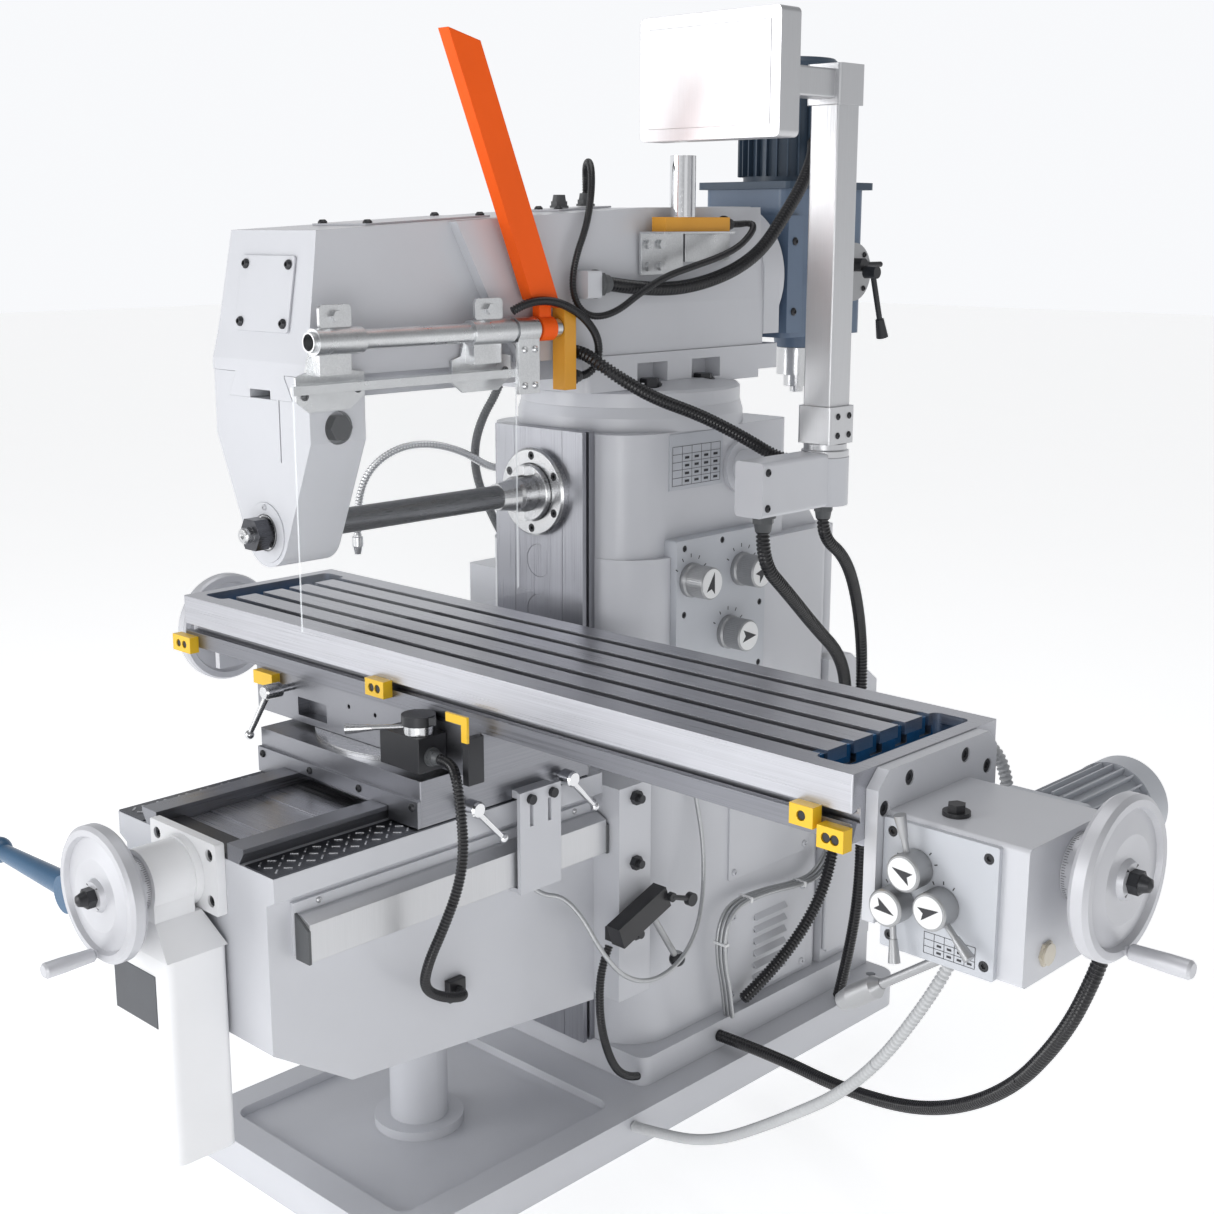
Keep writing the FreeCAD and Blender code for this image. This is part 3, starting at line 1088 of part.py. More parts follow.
def feed_gearbox():
    plate = prism_x([(-414, 800), (-414, 988), (-390, 1012), (-140, 1012), (-116, 988), (-116, 800)],
                    TABLE_RIGHT + GAP, BOX_LEFT)
    sockets = []
    for y, z in ((-398, 960), (-340, 990), (-200, 990), (-140, 960)):
        plate = cut(plate, rod(BOX_LEFT - 8, y, z, X_AXIS, 11, 9))
        head = rod(BOX_LEFT - 8, y, z, X_AXIS, 10, 6)
        sockets.append(cut(head, hexagon(BOX_LEFT - 4, y, z, X_AXIS, 5.5, 3)))
    housing = box(BOX_LEFT, BOX_RIGHT, BOX_FRONT, BOX_BACK, BOX_LOW, BOX_TOP)
    housing = rounded(housing, 8, X_AXIS)
    panel = rounded_box(BOX_LEFT + 1, 1252, FEED_PANEL_Y, BOX_FRONT, BOX_LOW + 1, BOX_TOP - 5, 3, Y_AXIS)
    for x, z in ((1090, 932), (1237, 932), (1237, 784), (1090, 784)):
        panel = cut(panel, rod(x, FEED_PANEL_Y - 1, z, Y_AXIS, 7.5, 6))
        head = rod(x, FEED_PANEL_Y + 0.5, z, Y_AXIS, 6.8, 4.4)
        sockets.append(cut(head, hexagon(x, FEED_PANEL_Y, z, Y_AXIS, 4, 3)))
    for x, z in FEED_KNOBS:
        panel = cut(panel, rod(x, FEED_PANEL_Y - 1, z, Y_AXIS, 8 + FIT, 12))
    shaft_bore = rod(TABLE_RIGHT - 1, TABLE_Y, SCREW_Z, X_AXIS, 19 + FIT, 60)
    plate = cut(plate, shaft_bore)
    housing = cut(housing, rod(BOX_LEFT - 1, TABLE_Y, SCREW_Z, X_AXIS, 19 + FIT, 35))
    housing = cut(housing, rod(BOX_RIGHT - 60, TABLE_Y, SCREW_Z, X_AXIS, 14 + FIT, 70))
    filler = fuse(rod(1150, -340, BOX_TOP, Z_AXIS, 19, 6), hexagon(1150, -340, BOX_TOP + 6, Z_AXIS, 13, 10))
    glass = fuse(rod(BOX_RIGHT, -336, 799, X_AXIS, 15, 7), hexagon(BOX_RIGHT, -336, 799, X_AXIS, 18, 4))
    pivot = rod(1150, -330, BOX_LOW - 10, Z_AXIS, 26, 10)
    write("feed_gearbox", plate, housing, panel, filler, glass, pivot, *sockets)


FEED_KNOBS = ((1130, 892), (1104, 836), (1172, 850))


def feed_knob(index, x, z, lever_turn):
    """Selector knob with a pointer disc and a short lever set into its rim."""
    out = V(0, -1, 0)
    stem = rod(x, FEED_PANEL_Y + 3, z, out, 8, 4)
    drum = turned([(0, GAP), (25, GAP), (26, 3), (26, 32), (24, 34), (0, 34)], V(x, FEED_PANEL_Y, z), out)
    disc = rod(x, FEED_PANEL_Y - 35, z, Y_AXIS, 22, 1)
    aim = V(math.sin(math.radians(lever_turn)), -0.12, math.cos(math.radians(lever_turn))).normalize()
    start = V(x, FEED_PANEL_Y - 16, z) + aim * 24
    arm = rod(start.x, start.y, start.z, aim, 4.5, 24)
    grip_at = start + aim * 22
    grip = taper(grip_at.x, grip_at.y, grip_at.z, aim, 5.5, 8.5, 32)
    arrow = prism_y([(x, z + 17), (x - 9, z - 14), (x, z - 8), (x + 9, z - 14)], FEED_PANEL_Y - 35.5,
                    FEED_PANEL_Y - 35)
    write("feed_knob_%d" % index, fuse(stem, drum, arm, grip), disc,
          spun(arrow, x, 0, z, Y_AXIS, lever_turn - 60))


def feed_lever():
    """Long lever under the gearbox that sets the table feed going left or right."""
    hub = turned([(0, 0), (20, 0), (20, 14), (0, 14)], V(1150, -330, BOX_LOW - 10.3 - 14), Z_AXIS)
    aim = V(-1.0, -0.05, -0.72).normalize()
    start = V(1142, -330, BOX_LOW - 18)
    arm = rod(start.x, start.y, start.z, aim, 7, 128)
    grip_at = start + aim * 126
    grip = turned([(0, 0), (8, 0), (17, 14), (17, 60), (13, 82), (0, 84)], grip_at, aim)
    write("feed_lever", fuse(hub, arm), cut(grip, arm))


MOTOR_X = 1192.0
MOTOR_Z = 885.0


def feed_motor():
    """Finned motor behind the gearbox, with its fan hood and terminal box."""
    drum = rod(MOTOR_X, BOX_BACK, MOTOR_Z, Y_AXIS, 58, 200)
    for k in range(24):
        fin = box(MOTOR_X - 1.4, MOTOR_X + 1.4, BOX_BACK + 22, BOX_BACK + 196, MOTOR_Z + 54, MOTOR_Z + 68)
        drum = drum.fuse(spun(fin, MOTOR_X, 0, MOTOR_Z, Y_AXIS, 15 * k))
    hood = turned([(0, 0), (69, 0), (69, 44), (60, 52), (0, 52)], V(MOTOR_X, BOX_BACK + 198, MOTOR_Z), Y_AXIS)
    flange = rounded_box(MOTOR_X - 66, MOTOR_X + 66, BOX_BACK, BOX_BACK + 16, MOTOR_Z - 66, MOTOR_Z + 66, 10,
                         Y_AXIS)
    terminal = rounded_box(MOTOR_X + 52, MOTOR_X + 92, -130, -50, MOTOR_Z - 34, MOTOR_Z + 34, 5, X_AXIS)
    outlet = gland(MOTOR_X + 72, -90, MOTOR_Z - 34, V(0, 0, -1), 13)
    write("feed_motor", fuse(drum, hood, flange, terminal), outlet)


def lead_screw():
    write("lead_screw", rod(TABLE_LEFT - 60, TABLE_Y, SCREW_Z, X_AXIS, 19, TABLE_LENGTH + 60 + 50))


def left_end_bracket():
    plate = prism_x([(-370, 850), (-370, 990), (-350, 1006), (-180, 1006), (-160, 990), (-160, 850)],
                    TABLE_LEFT - 14, TABLE_LEFT - GAP)
    housing = rod(TABLE_LEFT - 70, TABLE_Y, SCREW_Z, X_AXIS, 48, 60)
    body = fuse(plate, housing)
    body = cut(body, rod(TABLE_LEFT - 60, TABLE_Y, SCREW_Z, X_AXIS, 19 + FIT, 80))
    body = cut(body, rod(TABLE_LEFT - 71, TABLE_Y, SCREW_Z, X_AXIS, 14 + FIT, 20))
    sockets = []
    for y in (-350, -180):
        for z in (870, 980):
            sockets.append(round_head(TABLE_LEFT - 14, y, z, V(-1, 0, 0), 9, 7))
    write("left_end_bracket", body, *sockets)


# ---- pendant ----------------------------------------------------------------------------------------
def pendant_bracket():
    arm = rod(NECK_HALF, 350, 1262, X_AXIS, 34, 190)
    foot = rod(NECK_HALF, 350, 1262, X_AXIS, 52, 10)
    long_box = rounded_box(388, 452, 112, 340, 1214, 1314, 8, Y_AXIS)
    joint = rod(POST_X, POST_Y, 1214, Z_AXIS, 45, 90)
    body = fuse(arm, foot, long_box, joint)
    body = cut(body, rod(POST_X, POST_Y, 1304, Z_AXIS, 46, 20))
    ears = [round_head(452, 126, z, X_AXIS, 7, 4) for z in (1232, 1296)]
    spigot = rod(POST_X, POST_Y, 1304, Z_AXIS, 18, 24)
    glands = [gland(424, 150, 1214, V(0, 0, -1), 17), gland(POST_X, POST_Y, 1214, V(0, 0, -1), 16)]
    write("pendant_bracket", body, spigot, *ears, *glands)


def pendant_post():
    """Turning socket, square aluminium post, cross arm and the display box on it."""
    ring = turned([(18 + FIT, 1304 + GAP), (44, 1304 + GAP), (44, 1316), (40, 1318), (40, 1328.5),
                   (18 + FIT, 1328.5)],
                  V(POST_X, POST_Y, 0), Z_AXIS)
    s = POST_SIDE / 2
    socket = rounded_box(POST_X - 37.5, POST_X + 37.5, POST_Y - 37.5, POST_Y + 37.5, 1329, 1398, 6)
    post = rounded_box(POST_X - s, POST_X + s, POST_Y - s, POST_Y + s, 1398, 1930, 4)
    elbow = rounded_box(POST_X - 37, POST_X + 37, POST_Y - 37, POST_Y + 37, 1930, 2000, 6)
    arm = rounded_box(POST_X - 25, POST_X + 25, POST_Y - 300, POST_Y - 37, 1940, 1990, 4, Y_AXIS)
    display = rounded_box(POST_X - 150, POST_X + 150, POST_Y - 350, POST_Y - 300, 1860, 2060, 10, Y_AXIS)
    screen = box(POST_X - 130, POST_X + 130, POST_Y - 351, POST_Y - 350, 1880, 2040)
    screws = []
    for y in (POST_Y - 14, POST_Y + 20):
        for z in (1345, 1380):
            screws.append(round_head(POST_X + 37.5, y, z, X_AXIS, 6, 3))
    write("pendant_post", fuse(ring, socket, post, elbow, arm, display), screen, *screws)


# ---- conduits and hoses ---------------------------------------------------------------------------
def conduits():
    """Corrugated conduits, the coolant hose and the thin braided lines, end to end."""
    pendant_front = tube([(424, 150, 1184), (424, 150, 1126), (410, 242, 1058), (370, 387, 959),
                          (326, 536, 868),
                          (300, 600, 770), (290, 612, 620), (286, 600, 470), (287, 566, 350), (278, 500, 262),
                          (262, 412, 190), (248, 340, 150)], 13)
    pendant_rear = tube([(420, 335, 1185.5), (420, 335, 1150), (408, 424, 1100), (370, 520, 1010),
                         (334, 600, 880),
                         (332, 606, 740), (341, 604, 560), (344, 610, 380), (322, 616, 210), (290, 618, 74)],
                        12)
    signal = tube([(-262, 160, 1030), (-262, 160, 1070), (-261, 112, 1146), (-256, 70, 1222),
                   (-240, 52, 1290),
                   (-208, 46, 1350), (-178, 58, 1400), (-162, 64, 1440)], 9)
    hose = tube([(-220, 119.8, 1240), (-220, 84, 1240), (-226, 10, 1284), (-242, -66, 1306),
                 (-264, -130, 1300),
                 (-284, -184, 1262), (-290, -210, 1196), (-290, -210, 1136)], 8)
    nozzle = turned([(0, 0), (6, 0), (9, 14), (11, 16), (11, 34), (7, 34), (7, 38), (0, 38)],
                    V(-290, -210, 1098), Z_AXIS)
    socket = rounded_box(-236, -NECK_HALF - GAP, 120, 160, 1224, 1256, 4)
    bundle = []
    for k in range(3):
        x = 241 + 10 * k
        bundle.append(tube([(x, 622, 396), (x, 590, 356), (x, 500, 358), (x, 411, 372), (x, 300, 376),
                            (x, 262, 334), (x, 262, 262), (x, 282, 190), (x, 290, 131)], 4.5))
    write("column_conduits", pendant_front, pendant_rear, signal, hose, nozzle, socket, *bundle)
    switch_loop = tube([(168, -60.8, 1461), (168, -38, 1461), (178, -22, 1484), (190, -32, 1524),
                        (194, -66, 1560),
                        (194, -112, 1586), (191, -160, 1598), (184, -206, 1594), (176, -228, 1581)], 7.5)
    interlock = tube([(0, 128, 1781.4), (0, 128, 1808), (22, 106, 1832), (62, 74, 1838), (104, 38, 1818),
                      (136, 4, 1776), (154, -26, 1722), (158, -60, 1664), (161, -72, 1612), (167, -56, 1574),
                      (178, -26, 1562), (191, 14, 1572), (199, 66, 1604), (203, 130, 1632), (207, 200, 1648),
                      (210, 272, 1664), (209, 330, 1682), (206, 372, 1708), (194, 392, 1724),
                      (178, 390, 1726),
                      (172.8, 372, 1724), (172.8, 347.2, 1724)], 6.5)
    write("ram_conduits", switch_loop, interlock)
    write("head_conduit", tube([(163, 20, 1620), (166, 74, 1612), (175, 180, 1606), (182, 272, 1618),
                                (186, 358, 1642), (188, 429, 1678), (186, 490, 1734), (180, 560, 1800),
                                (158, 626, 1866), (120, 668, 1893), (120, 699.7, 1893)], 13))
    write("ram_supply", tube([(146, -60, 1504), (176, -60, 1504), (214, -52, 1482), (240, -16, 1452),
                              (258, 46, 1418),
                              (284, 133, 1386), (320, 214, 1342), (350, 286, 1296), (387.6, 286, 1296)], 12))
    trip = tube([(252.4, -474, 862), (280, -474, 862), (316, -494, 846), (331, -499, 790), (334, -498, 730),
                 (330, -506, 670), (312, -524, 600), (286, -540, 530), (262, -530, 474),
                 (257, -478, 438), (250, -416, 420), (205.8, -416, 420)], 9)
    limit = tube([(306, -126, 436), (303, -140, 404), (300, -146, 350), (300, -140, 270),
                  (292, -100, 180), (274, -40, 128), (253, 10, 104)], 8)
    scale = tube([(240, -252, 567), (248, -238, 552), (270, -210, 548), (296, -186, 510), (328, -166, 440),
                  (334, -112, 376), (328, -32, 340), (314, 60, 342), (294, 134, 376), (268, 184, 434),
                  (248, 206, 526), (238, 194, 620), (228, 188, 690)], 4.5)
    write("saddle_cables", trip, limit, scale)
    power = tube([(1264, -90, 826), (1264, -96, 760), (1250, -110, 680), (1200, -100, 560), (1080, -40, 400),
                  (880, 60, 250), (640, 160, 160), (400, 252, 110), (253.5, 258, 100)], 12)
    drain = tube([(1030, -84.8, 965), (1030, -58, 965), (1046, -42, 930), (1058, -44, 880), (1060, -70, 810),
                  (1050, -112, 720), (1020, -150, 600), (900, -170, 400), (700, -140, 240), (520, -90, 110),
                  (360, -62, 56), (311.5, -62, 50)], 10)
    write("table_hoses", power, drain)


def main():
    base_plinth()
    column()
    column_ways()
    spindle_cap()
    column_plates()
    main_drive()
    electrical_boxes()
    cabinet_door()
    turret()
    spindle()
    milling_arbor()
    for index, (y, z) in enumerate(KNOB_SPOTS, 1):
        speed_knob(index, y, z)
    ram()
    guard_rail()
    guard_post()
    guard_sleeve()
    guard_shield()
    safety_switches()
    arbor_support()
    vertical_head()
    head_spindle()
    head_lever()
    knee()
    knee_covers()
    crossfeed_bracket()
    knee_sensors()
    elevating_screw()
    crossfeed_wheel()
    knee_lever()
    lock_lever()
    lower_saddle()
    for index, (y, z) in enumerate(CLAMP_AT, 1):
        clamp_lever("saddle_clamp_%d" % index, LIP_HALF, y, z, V(0, 0.69, -0.72).normalize(), 98)
    swivel_saddle()
    feed_trip_unit()
    feed_trip_lever()
    swivel_clamp()
    table()
    trip_dogs()
    feed_gearbox()
    for index, ((x, z), turn) in enumerate(zip(FEED_KNOBS, (-10, 170, 130)), 1):
        feed_knob(index, x, z, turn)
    feed_lever()
    feed_motor()
    lead_screw()
    left_end_bracket()
    write("right_handwheel", hand_wheel(V(BOX_RIGHT, TABLE_Y, SCREW_Z), V(1, 0, 0),
                                        V(0, 0.08, -1).normalize()))
    write("left_handwheel", hand_wheel(V(TABLE_LEFT - 70, TABLE_Y, SCREW_Z), V(-1, 0, 0), V(0, 0, -1)))
    pendant_bracket()
    pendant_post()
    conduits()


main()
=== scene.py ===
import math

import bmesh
import bpy
import numpy as np
from mathutils import Matrix, Vector


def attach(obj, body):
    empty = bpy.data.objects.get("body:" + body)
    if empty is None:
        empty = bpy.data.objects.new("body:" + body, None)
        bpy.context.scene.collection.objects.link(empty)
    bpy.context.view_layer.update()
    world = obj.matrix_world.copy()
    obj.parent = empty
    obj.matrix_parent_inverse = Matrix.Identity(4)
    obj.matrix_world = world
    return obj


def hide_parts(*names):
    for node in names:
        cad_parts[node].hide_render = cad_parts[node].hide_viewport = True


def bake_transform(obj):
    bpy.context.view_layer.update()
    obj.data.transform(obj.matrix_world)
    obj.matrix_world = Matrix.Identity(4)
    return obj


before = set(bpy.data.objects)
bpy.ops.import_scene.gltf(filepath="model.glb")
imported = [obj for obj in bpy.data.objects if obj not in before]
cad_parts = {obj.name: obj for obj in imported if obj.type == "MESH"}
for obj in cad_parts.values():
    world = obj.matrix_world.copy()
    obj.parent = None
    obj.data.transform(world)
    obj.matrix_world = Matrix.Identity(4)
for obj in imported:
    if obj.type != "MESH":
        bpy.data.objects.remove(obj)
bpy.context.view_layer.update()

MM = 0.001
BOX_SLACK = 0.5          # millimetres that a solid may reach past the box that names it
FLOOR_HALF = 30.0
FLOOR_DROP = 0.002
FLOOR_GLOW = 0.56
CAMERA_PLACE = (2.29507, -2.21423, 1.72384)
CAMERA_TURN = 44.033
CAMERA_DIP = 12.673


# ---- node tree helpers --------------------------------------------------------------------
def new_material(name):
    material = bpy.data.materials.new(name)
    material.use_nodes = True
    tree = material.node_tree
    return material, tree, tree.nodes["Principled BSDF"]


def object_coords(tree, scale=(1, 1, 1)):
    coords = tree.nodes.new("ShaderNodeTexCoord")
    mapping = tree.nodes.new("ShaderNodeMapping")
    mapping.inputs["Scale"].default_value = scale
    tree.links.new(coords.outputs["Object"], mapping.inputs["Vector"])
    return mapping.outputs["Vector"]


def noise(tree, scale, detail=3.0, stretch=(1, 1, 1)):
    node = tree.nodes.new("ShaderNodeTexNoise")
    node.inputs["Scale"].default_value = scale
    node.inputs["Detail"].default_value = detail
    tree.links.new(object_coords(tree, stretch), node.inputs["Vector"])
    return node.outputs["Fac"]


def span(tree, value, low, high, from_low=0.3, from_high=0.7):
    node = tree.nodes.new("ShaderNodeMapRange")
    node.inputs["From Min"].default_value = from_low
    node.inputs["From Max"].default_value = from_high
    node.inputs["To Min"].default_value = low
    node.inputs["To Max"].default_value = high
    tree.links.new(value, node.inputs["Value"])
    return node.outputs["Result"]


def mix(tree, factor, a, b):
    node = tree.nodes.new("ShaderNodeMix")
    node.data_type = "RGBA"
    for socket, value in ((6, a), (7, b)):
        if isinstance(value, (tuple, list)):
            node.inputs[socket].default_value = (*value[:3], 1)
        else:
            tree.links.new(value, node.inputs[socket])
    if isinstance(factor, float):
        node.inputs[0].default_value = factor
    else:
        tree.links.new(factor, node.inputs[0])
    return node.outputs[2]


def shade(colour, factor):
    return tuple(min(1.0, c * factor) for c in colour)


def rounded_normal(tree, radius):
    node = tree.nodes.new("ShaderNodeBevel")
    node.samples = 4
    node.inputs["Radius"].default_value = radius
    return node.outputs["Normal"]


def bump(tree, height, strength, distance, normal=None):
    node = tree.nodes.new("ShaderNodeBump")
    node.inputs["Strength"].default_value = strength
    node.inputs["Distance"].default_value = distance
    tree.links.new(height, node.inputs["Height"])
    if normal is not None:
        tree.links.new(normal, node.inputs["Normal"])
    return node.outputs["Normal"]


# painted shade: ambient occlusion mapped to a factor that darkens colour in corners and recesses
def cavity(tree, reach, low, high):
    node = tree.nodes.new("ShaderNodeAmbientOcclusion")
    node.samples = 4
    node.inputs["Distance"].default_value = reach
    return span(tree, node.outputs["AO"], low, high, 0.25, 0.85)


def finish_material(name, colour, rough, metallic=0.0, vary=0.05, vary_scale=6.0, rough_vary=0.06,
                    grain=300.0, grain_depth=0.00004, stretch=(1, 1, 1), edge=0.0012, coat=0.0, painted_corner_shade=0.15,
                    specular=0.5):
    """A surface with cloudy colour, grained roughness, soft edges and painted shade in its corners."""
    material, tree, shader = new_material(name)
    clouds = noise(tree, vary_scale, 4.0, stretch)
    tone = mix(tree, span(tree, clouds, 0.0, 1.0), shade(colour, 1 - vary), shade(colour, 1 + vary))
    # painted shade: colour darkened towards 0.35 of itself where ambient occlusion finds corners and recesses
    if painted_corner_shade > 0:
        tone = mix(tree, cavity(tree, 0.03, painted_corner_shade, 0.0), tone, shade(colour, 0.35))
    tree.links.new(tone, shader.inputs["Base Color"])
    fine = noise(tree, grain, 2.0, stretch)
    tree.links.new(span(tree, fine, max(0.02, rough - rough_vary), rough + rough_vary),
                   shader.inputs["Roughness"])
    edges = rounded_normal(tree, edge) if edge else None
    tree.links.new(bump(tree, fine, 1.0, grain_depth, edges), shader.inputs["Normal"])
    shader.inputs["Metallic"].default_value = metallic
    shader.inputs["Coat Weight"].default_value = coat
    shader.inputs["Coat Roughness"].default_value = 0.12
    shader.inputs["Specular IOR Level"].default_value = specular
    return material


def ground_material(name, colour, along, rough=0.34):
    """Ground steel with fine marks along one axis and oil stains."""
    material, tree, shader = new_material(name)
    long_marks = noise(tree, 1.0, 3.0, tuple(4 if k == along else 900 for k in range(3)))
    stains = noise(tree, 3.5, 5.0)
    tone = mix(tree, span(tree, long_marks, 0.0, 1.0), shade(colour, 0.88), shade(colour, 1.1))
    tone = mix(tree, span(tree, stains, 0.0, 0.35, 0.5, 0.75), tone, shade(colour, 0.78))
    # painted shade: colour darkened towards 0.3 of itself in corners and recesses found by ambient occlusion
    tone = mix(tree, cavity(tree, 0.02, 0.4, 0.0), tone, shade(colour, 0.3))
    tree.links.new(tone, shader.inputs["Base Color"])
    tree.links.new(span(tree, long_marks, rough - 0.08, rough + 0.1), shader.inputs["Roughness"])
    edges = rounded_normal(tree, 0.0008)
    tree.links.new(bump(tree, long_marks, 0.6, 0.00003, edges), shader.inputs["Normal"])
    shader.inputs["Metallic"].default_value = 1.0
    shader.inputs["Anisotropic"].default_value = 0.3
    return material


def spangle_material(name, colour):
    """Galvanised steel with faint crystal patches."""
    material, tree, shader = new_material(name)
    cells = tree.nodes.new("ShaderNodeTexVoronoi")
    cells.inputs["Scale"].default_value = 320.0
    tree.links.new(object_coords(tree), cells.inputs["Vector"])
    tone = mix(tree, span(tree, cells.outputs["Distance"], 0.0, 1.0, 0.1, 0.8), shade(colour, 0.93),
               shade(colour, 1.03))
    tree.links.new(tone, shader.inputs["Base Color"])
    clouds = noise(tree, 30.0, 3.0)
    tree.links.new(span(tree, clouds, 0.25, 0.42), shader.inputs["Roughness"])
    tree.links.new(rounded_normal(tree, 0.001), shader.inputs["Normal"])
    shader.inputs["Metallic"].default_value = 1.0
    return material


def clear_material(name, alpha):
    """Clear sheet: faint tint, fine scratches and sharp reflections."""
    material, tree, shader = new_material(name)
    scratches = noise(tree, 1.0, 4.0, (300, 40, 600))
    tone = mix(tree, span(tree, noise(tree, 5.0), 0.0, 1.0), (0.86, 0.90, 0.93), (0.94, 0.97, 0.99))
    tree.links.new(tone, shader.inputs["Base Color"])
    tree.links.new(span(tree, scratches, 0.03, 0.12), shader.inputs["Roughness"])
    shader.inputs["Alpha"].default_value = alpha
    shader.inputs["Specular IOR Level"].default_value = 0.6
    material.surface_render_method = "BLENDED"
    return material


MAT = {
    "white": finish_material("white_enamel", (0.61, 0.62, 0.655), 0.36, vary=0.02, grain=420.0, coat=0.15),
    # painted light: a brighter copy of white_enamel for the crossfeed bracket, standing in for the light that
    # falls on it
    "painted_lit_white": finish_material("white_enamel_painted_lit", (0.86, 0.865, 0.88), 0.34, vary=0.02, grain=420.0,
                                     coat=0.2),
    "white_panel": finish_material("panel_enamel", (0.54, 0.56, 0.60), 0.42, vary=0.03, grain=500.0),
    "table": ground_material("ground_table", (0.54, 0.545, 0.58), 0),
    "ways": ground_material("ground_ways", (0.38, 0.385, 0.415), 2),
    "saddle": ground_material("ground_saddle", (0.30, 0.305, 0.33), 1),
    # painted dark reflection: the table's front face gets a darker copy of the table's ground steel
    "table_front_painted_dark": ground_material("ground_table_side", (0.25, 0.255, 0.28), 0),
    "arbor": finish_material("arbor_steel", (0.10, 0.102, 0.112), 0.30, metallic=1.0, vary=0.15,
                             vary_scale=40.0,
                             grain=700.0, stretch=(1, 0.05, 1)),
    "bright": finish_material("bright_steel", (0.66, 0.665, 0.675), 0.24, metallic=1.0, vary=0.06,
                              grain=600.0),
    "galvanised": spangle_material("galvanised_steel", (0.70, 0.71, 0.72)),
    "chrome": finish_material("chrome_plate", (0.78, 0.785, 0.80), 0.10, metallic=1.0, vary=0.03, grain=200.0,
                              rough_vary=0.04),
    "blue_grey": finish_material("blue_grey_enamel", (0.115, 0.165, 0.245), 0.38, vary=0.08, grain=380.0,
                                 coat=0.1),
    "dark_blue": finish_material("dark_blue_enamel", (0.035, 0.06, 0.095), 0.42, vary=0.1, grain=380.0),
    "trough": finish_material("trough_paint", (0.012, 0.125, 0.30), 0.40, vary=0.2, vary_scale=20.0,
                              grain=260.0,
                              grain_depth=0.00015),
    "blue": finish_material("blue_enamel", (0.03, 0.11, 0.22), 0.35, vary=0.1, coat=0.2),
    "orange": finish_material("orange_powder_coat", (0.95, 0.115, 0.004), 0.5, vary=0.04, specular=0.25,
                              grain=900.0,
                              grain_depth=0.00008),
    "ochre": finish_material("ochre_housing", (0.78, 0.36, 0.03), 0.45, vary=0.06, grain=600.0),
    "yellow": finish_material("signal_yellow", (0.90, 0.55, 0.015), 0.38, vary=0.05, grain=500.0, coat=0.2),
    "aluminium": finish_material("anodised_aluminium", (0.62, 0.625, 0.64), 0.36, metallic=0.85, vary=0.04,
                                 vary_scale=3.0, grain=1.0, stretch=(900, 900, 6), grain_depth=0.00003),
    "knob": finish_material("satin_grey_cast", (0.40, 0.405, 0.415), 0.38, metallic=0.7, vary=0.05,
                            grain=1200.0,
                            grain_depth=0.00006, edge=0.0006),
    "wheel": finish_material("satin_grey_wheel", (0.60, 0.605, 0.635), 0.42, metallic=0.4, vary=0.05,
                             grain=900.0,
                             grain_depth=0.00006),
    "black": finish_material("black_plastic", (0.022, 0.022, 0.025), 0.38, vary=0.2, grain=900.0, painted_corner_shade=0.0,
                             edge=0.0008),
    "black_steel": finish_material("blackened_steel", (0.035, 0.036, 0.04), 0.36, metallic=0.4, vary=0.2,
                                   grain=500.0,
                                   painted_corner_shade=0.0, edge=0.001),
    "dark_grey": finish_material("dark_grey_plastic", (0.09, 0.095, 0.10), 0.42, vary=0.12, grain=700.0,
                                 painted_corner_shade=0.0),
    "conduit": finish_material("ribbed_conduit", (0.010, 0.010, 0.012), 0.24, vary=0.25, vary_scale=60.0,
                               grain=800.0, edge=0.0, painted_corner_shade=0.0),
    "hose_grey": finish_material("grey_flexible_hose", (0.55, 0.56, 0.57), 0.45, vary=0.06, grain=700.0,
                                 edge=0.0),
    "hose_dark": finish_material("dark_flexible_hose", (0.06, 0.063, 0.07), 0.40, vary=0.15, grain=700.0,
                                 edge=0.0),
    "braid": finish_material("braided_steel", (0.50, 0.51, 0.52), 0.35, metallic=0.8, vary=0.2,
                             vary_scale=900.0,
                             grain=1500.0, grain_depth=0.0002, edge=0.0),
    "disc": finish_material("dial_white", (0.84, 0.845, 0.85), 0.35, vary=0.02, grain=500.0, edge=0.0004),
    "print": finish_material("dial_print", (0.03, 0.03, 0.035), 0.5, vary=0.1, painted_corner_shade=0.0, edge=0.0),
    "plate": finish_material("etched_plate", (0.075, 0.08, 0.09), 0.38, metallic=0.3, vary=0.15, grain=600.0),
    "tread": finish_material("tread_steel", (0.10, 0.105, 0.12), 0.34, metallic=0.9, vary=0.12,
                             vary_scale=30.0,
                             grain=300.0),
    "tread_bar": finish_material("tread_bar_steel", (0.62, 0.63, 0.65), 0.30, metallic=0.9, vary=0.12,
                                 vary_scale=30.0, grain=300.0),
    "cover_steel": ground_material("cover_steel", (0.52, 0.525, 0.56), 0, rough=0.30),
    "copper_coil": finish_material("motor_cast", (0.12, 0.14, 0.18), 0.5, vary=0.1),
    "amber": finish_material("sight_glass", (0.55, 0.50, 0.40), 0.12, vary=0.1, coat=0.8),
    "shield": clear_material("clear_sheet", 0.045),
    "shield_edge": clear_material("clear_sheet_edge", 0.62),
    "floor": finish_material("studio_floor", (0.93, 0.935, 0.94), 0.75, vary=0.008, vary_scale=1.5,
                             grain=30.0,
                             edge=0.0, painted_corner_shade=0.0),
}

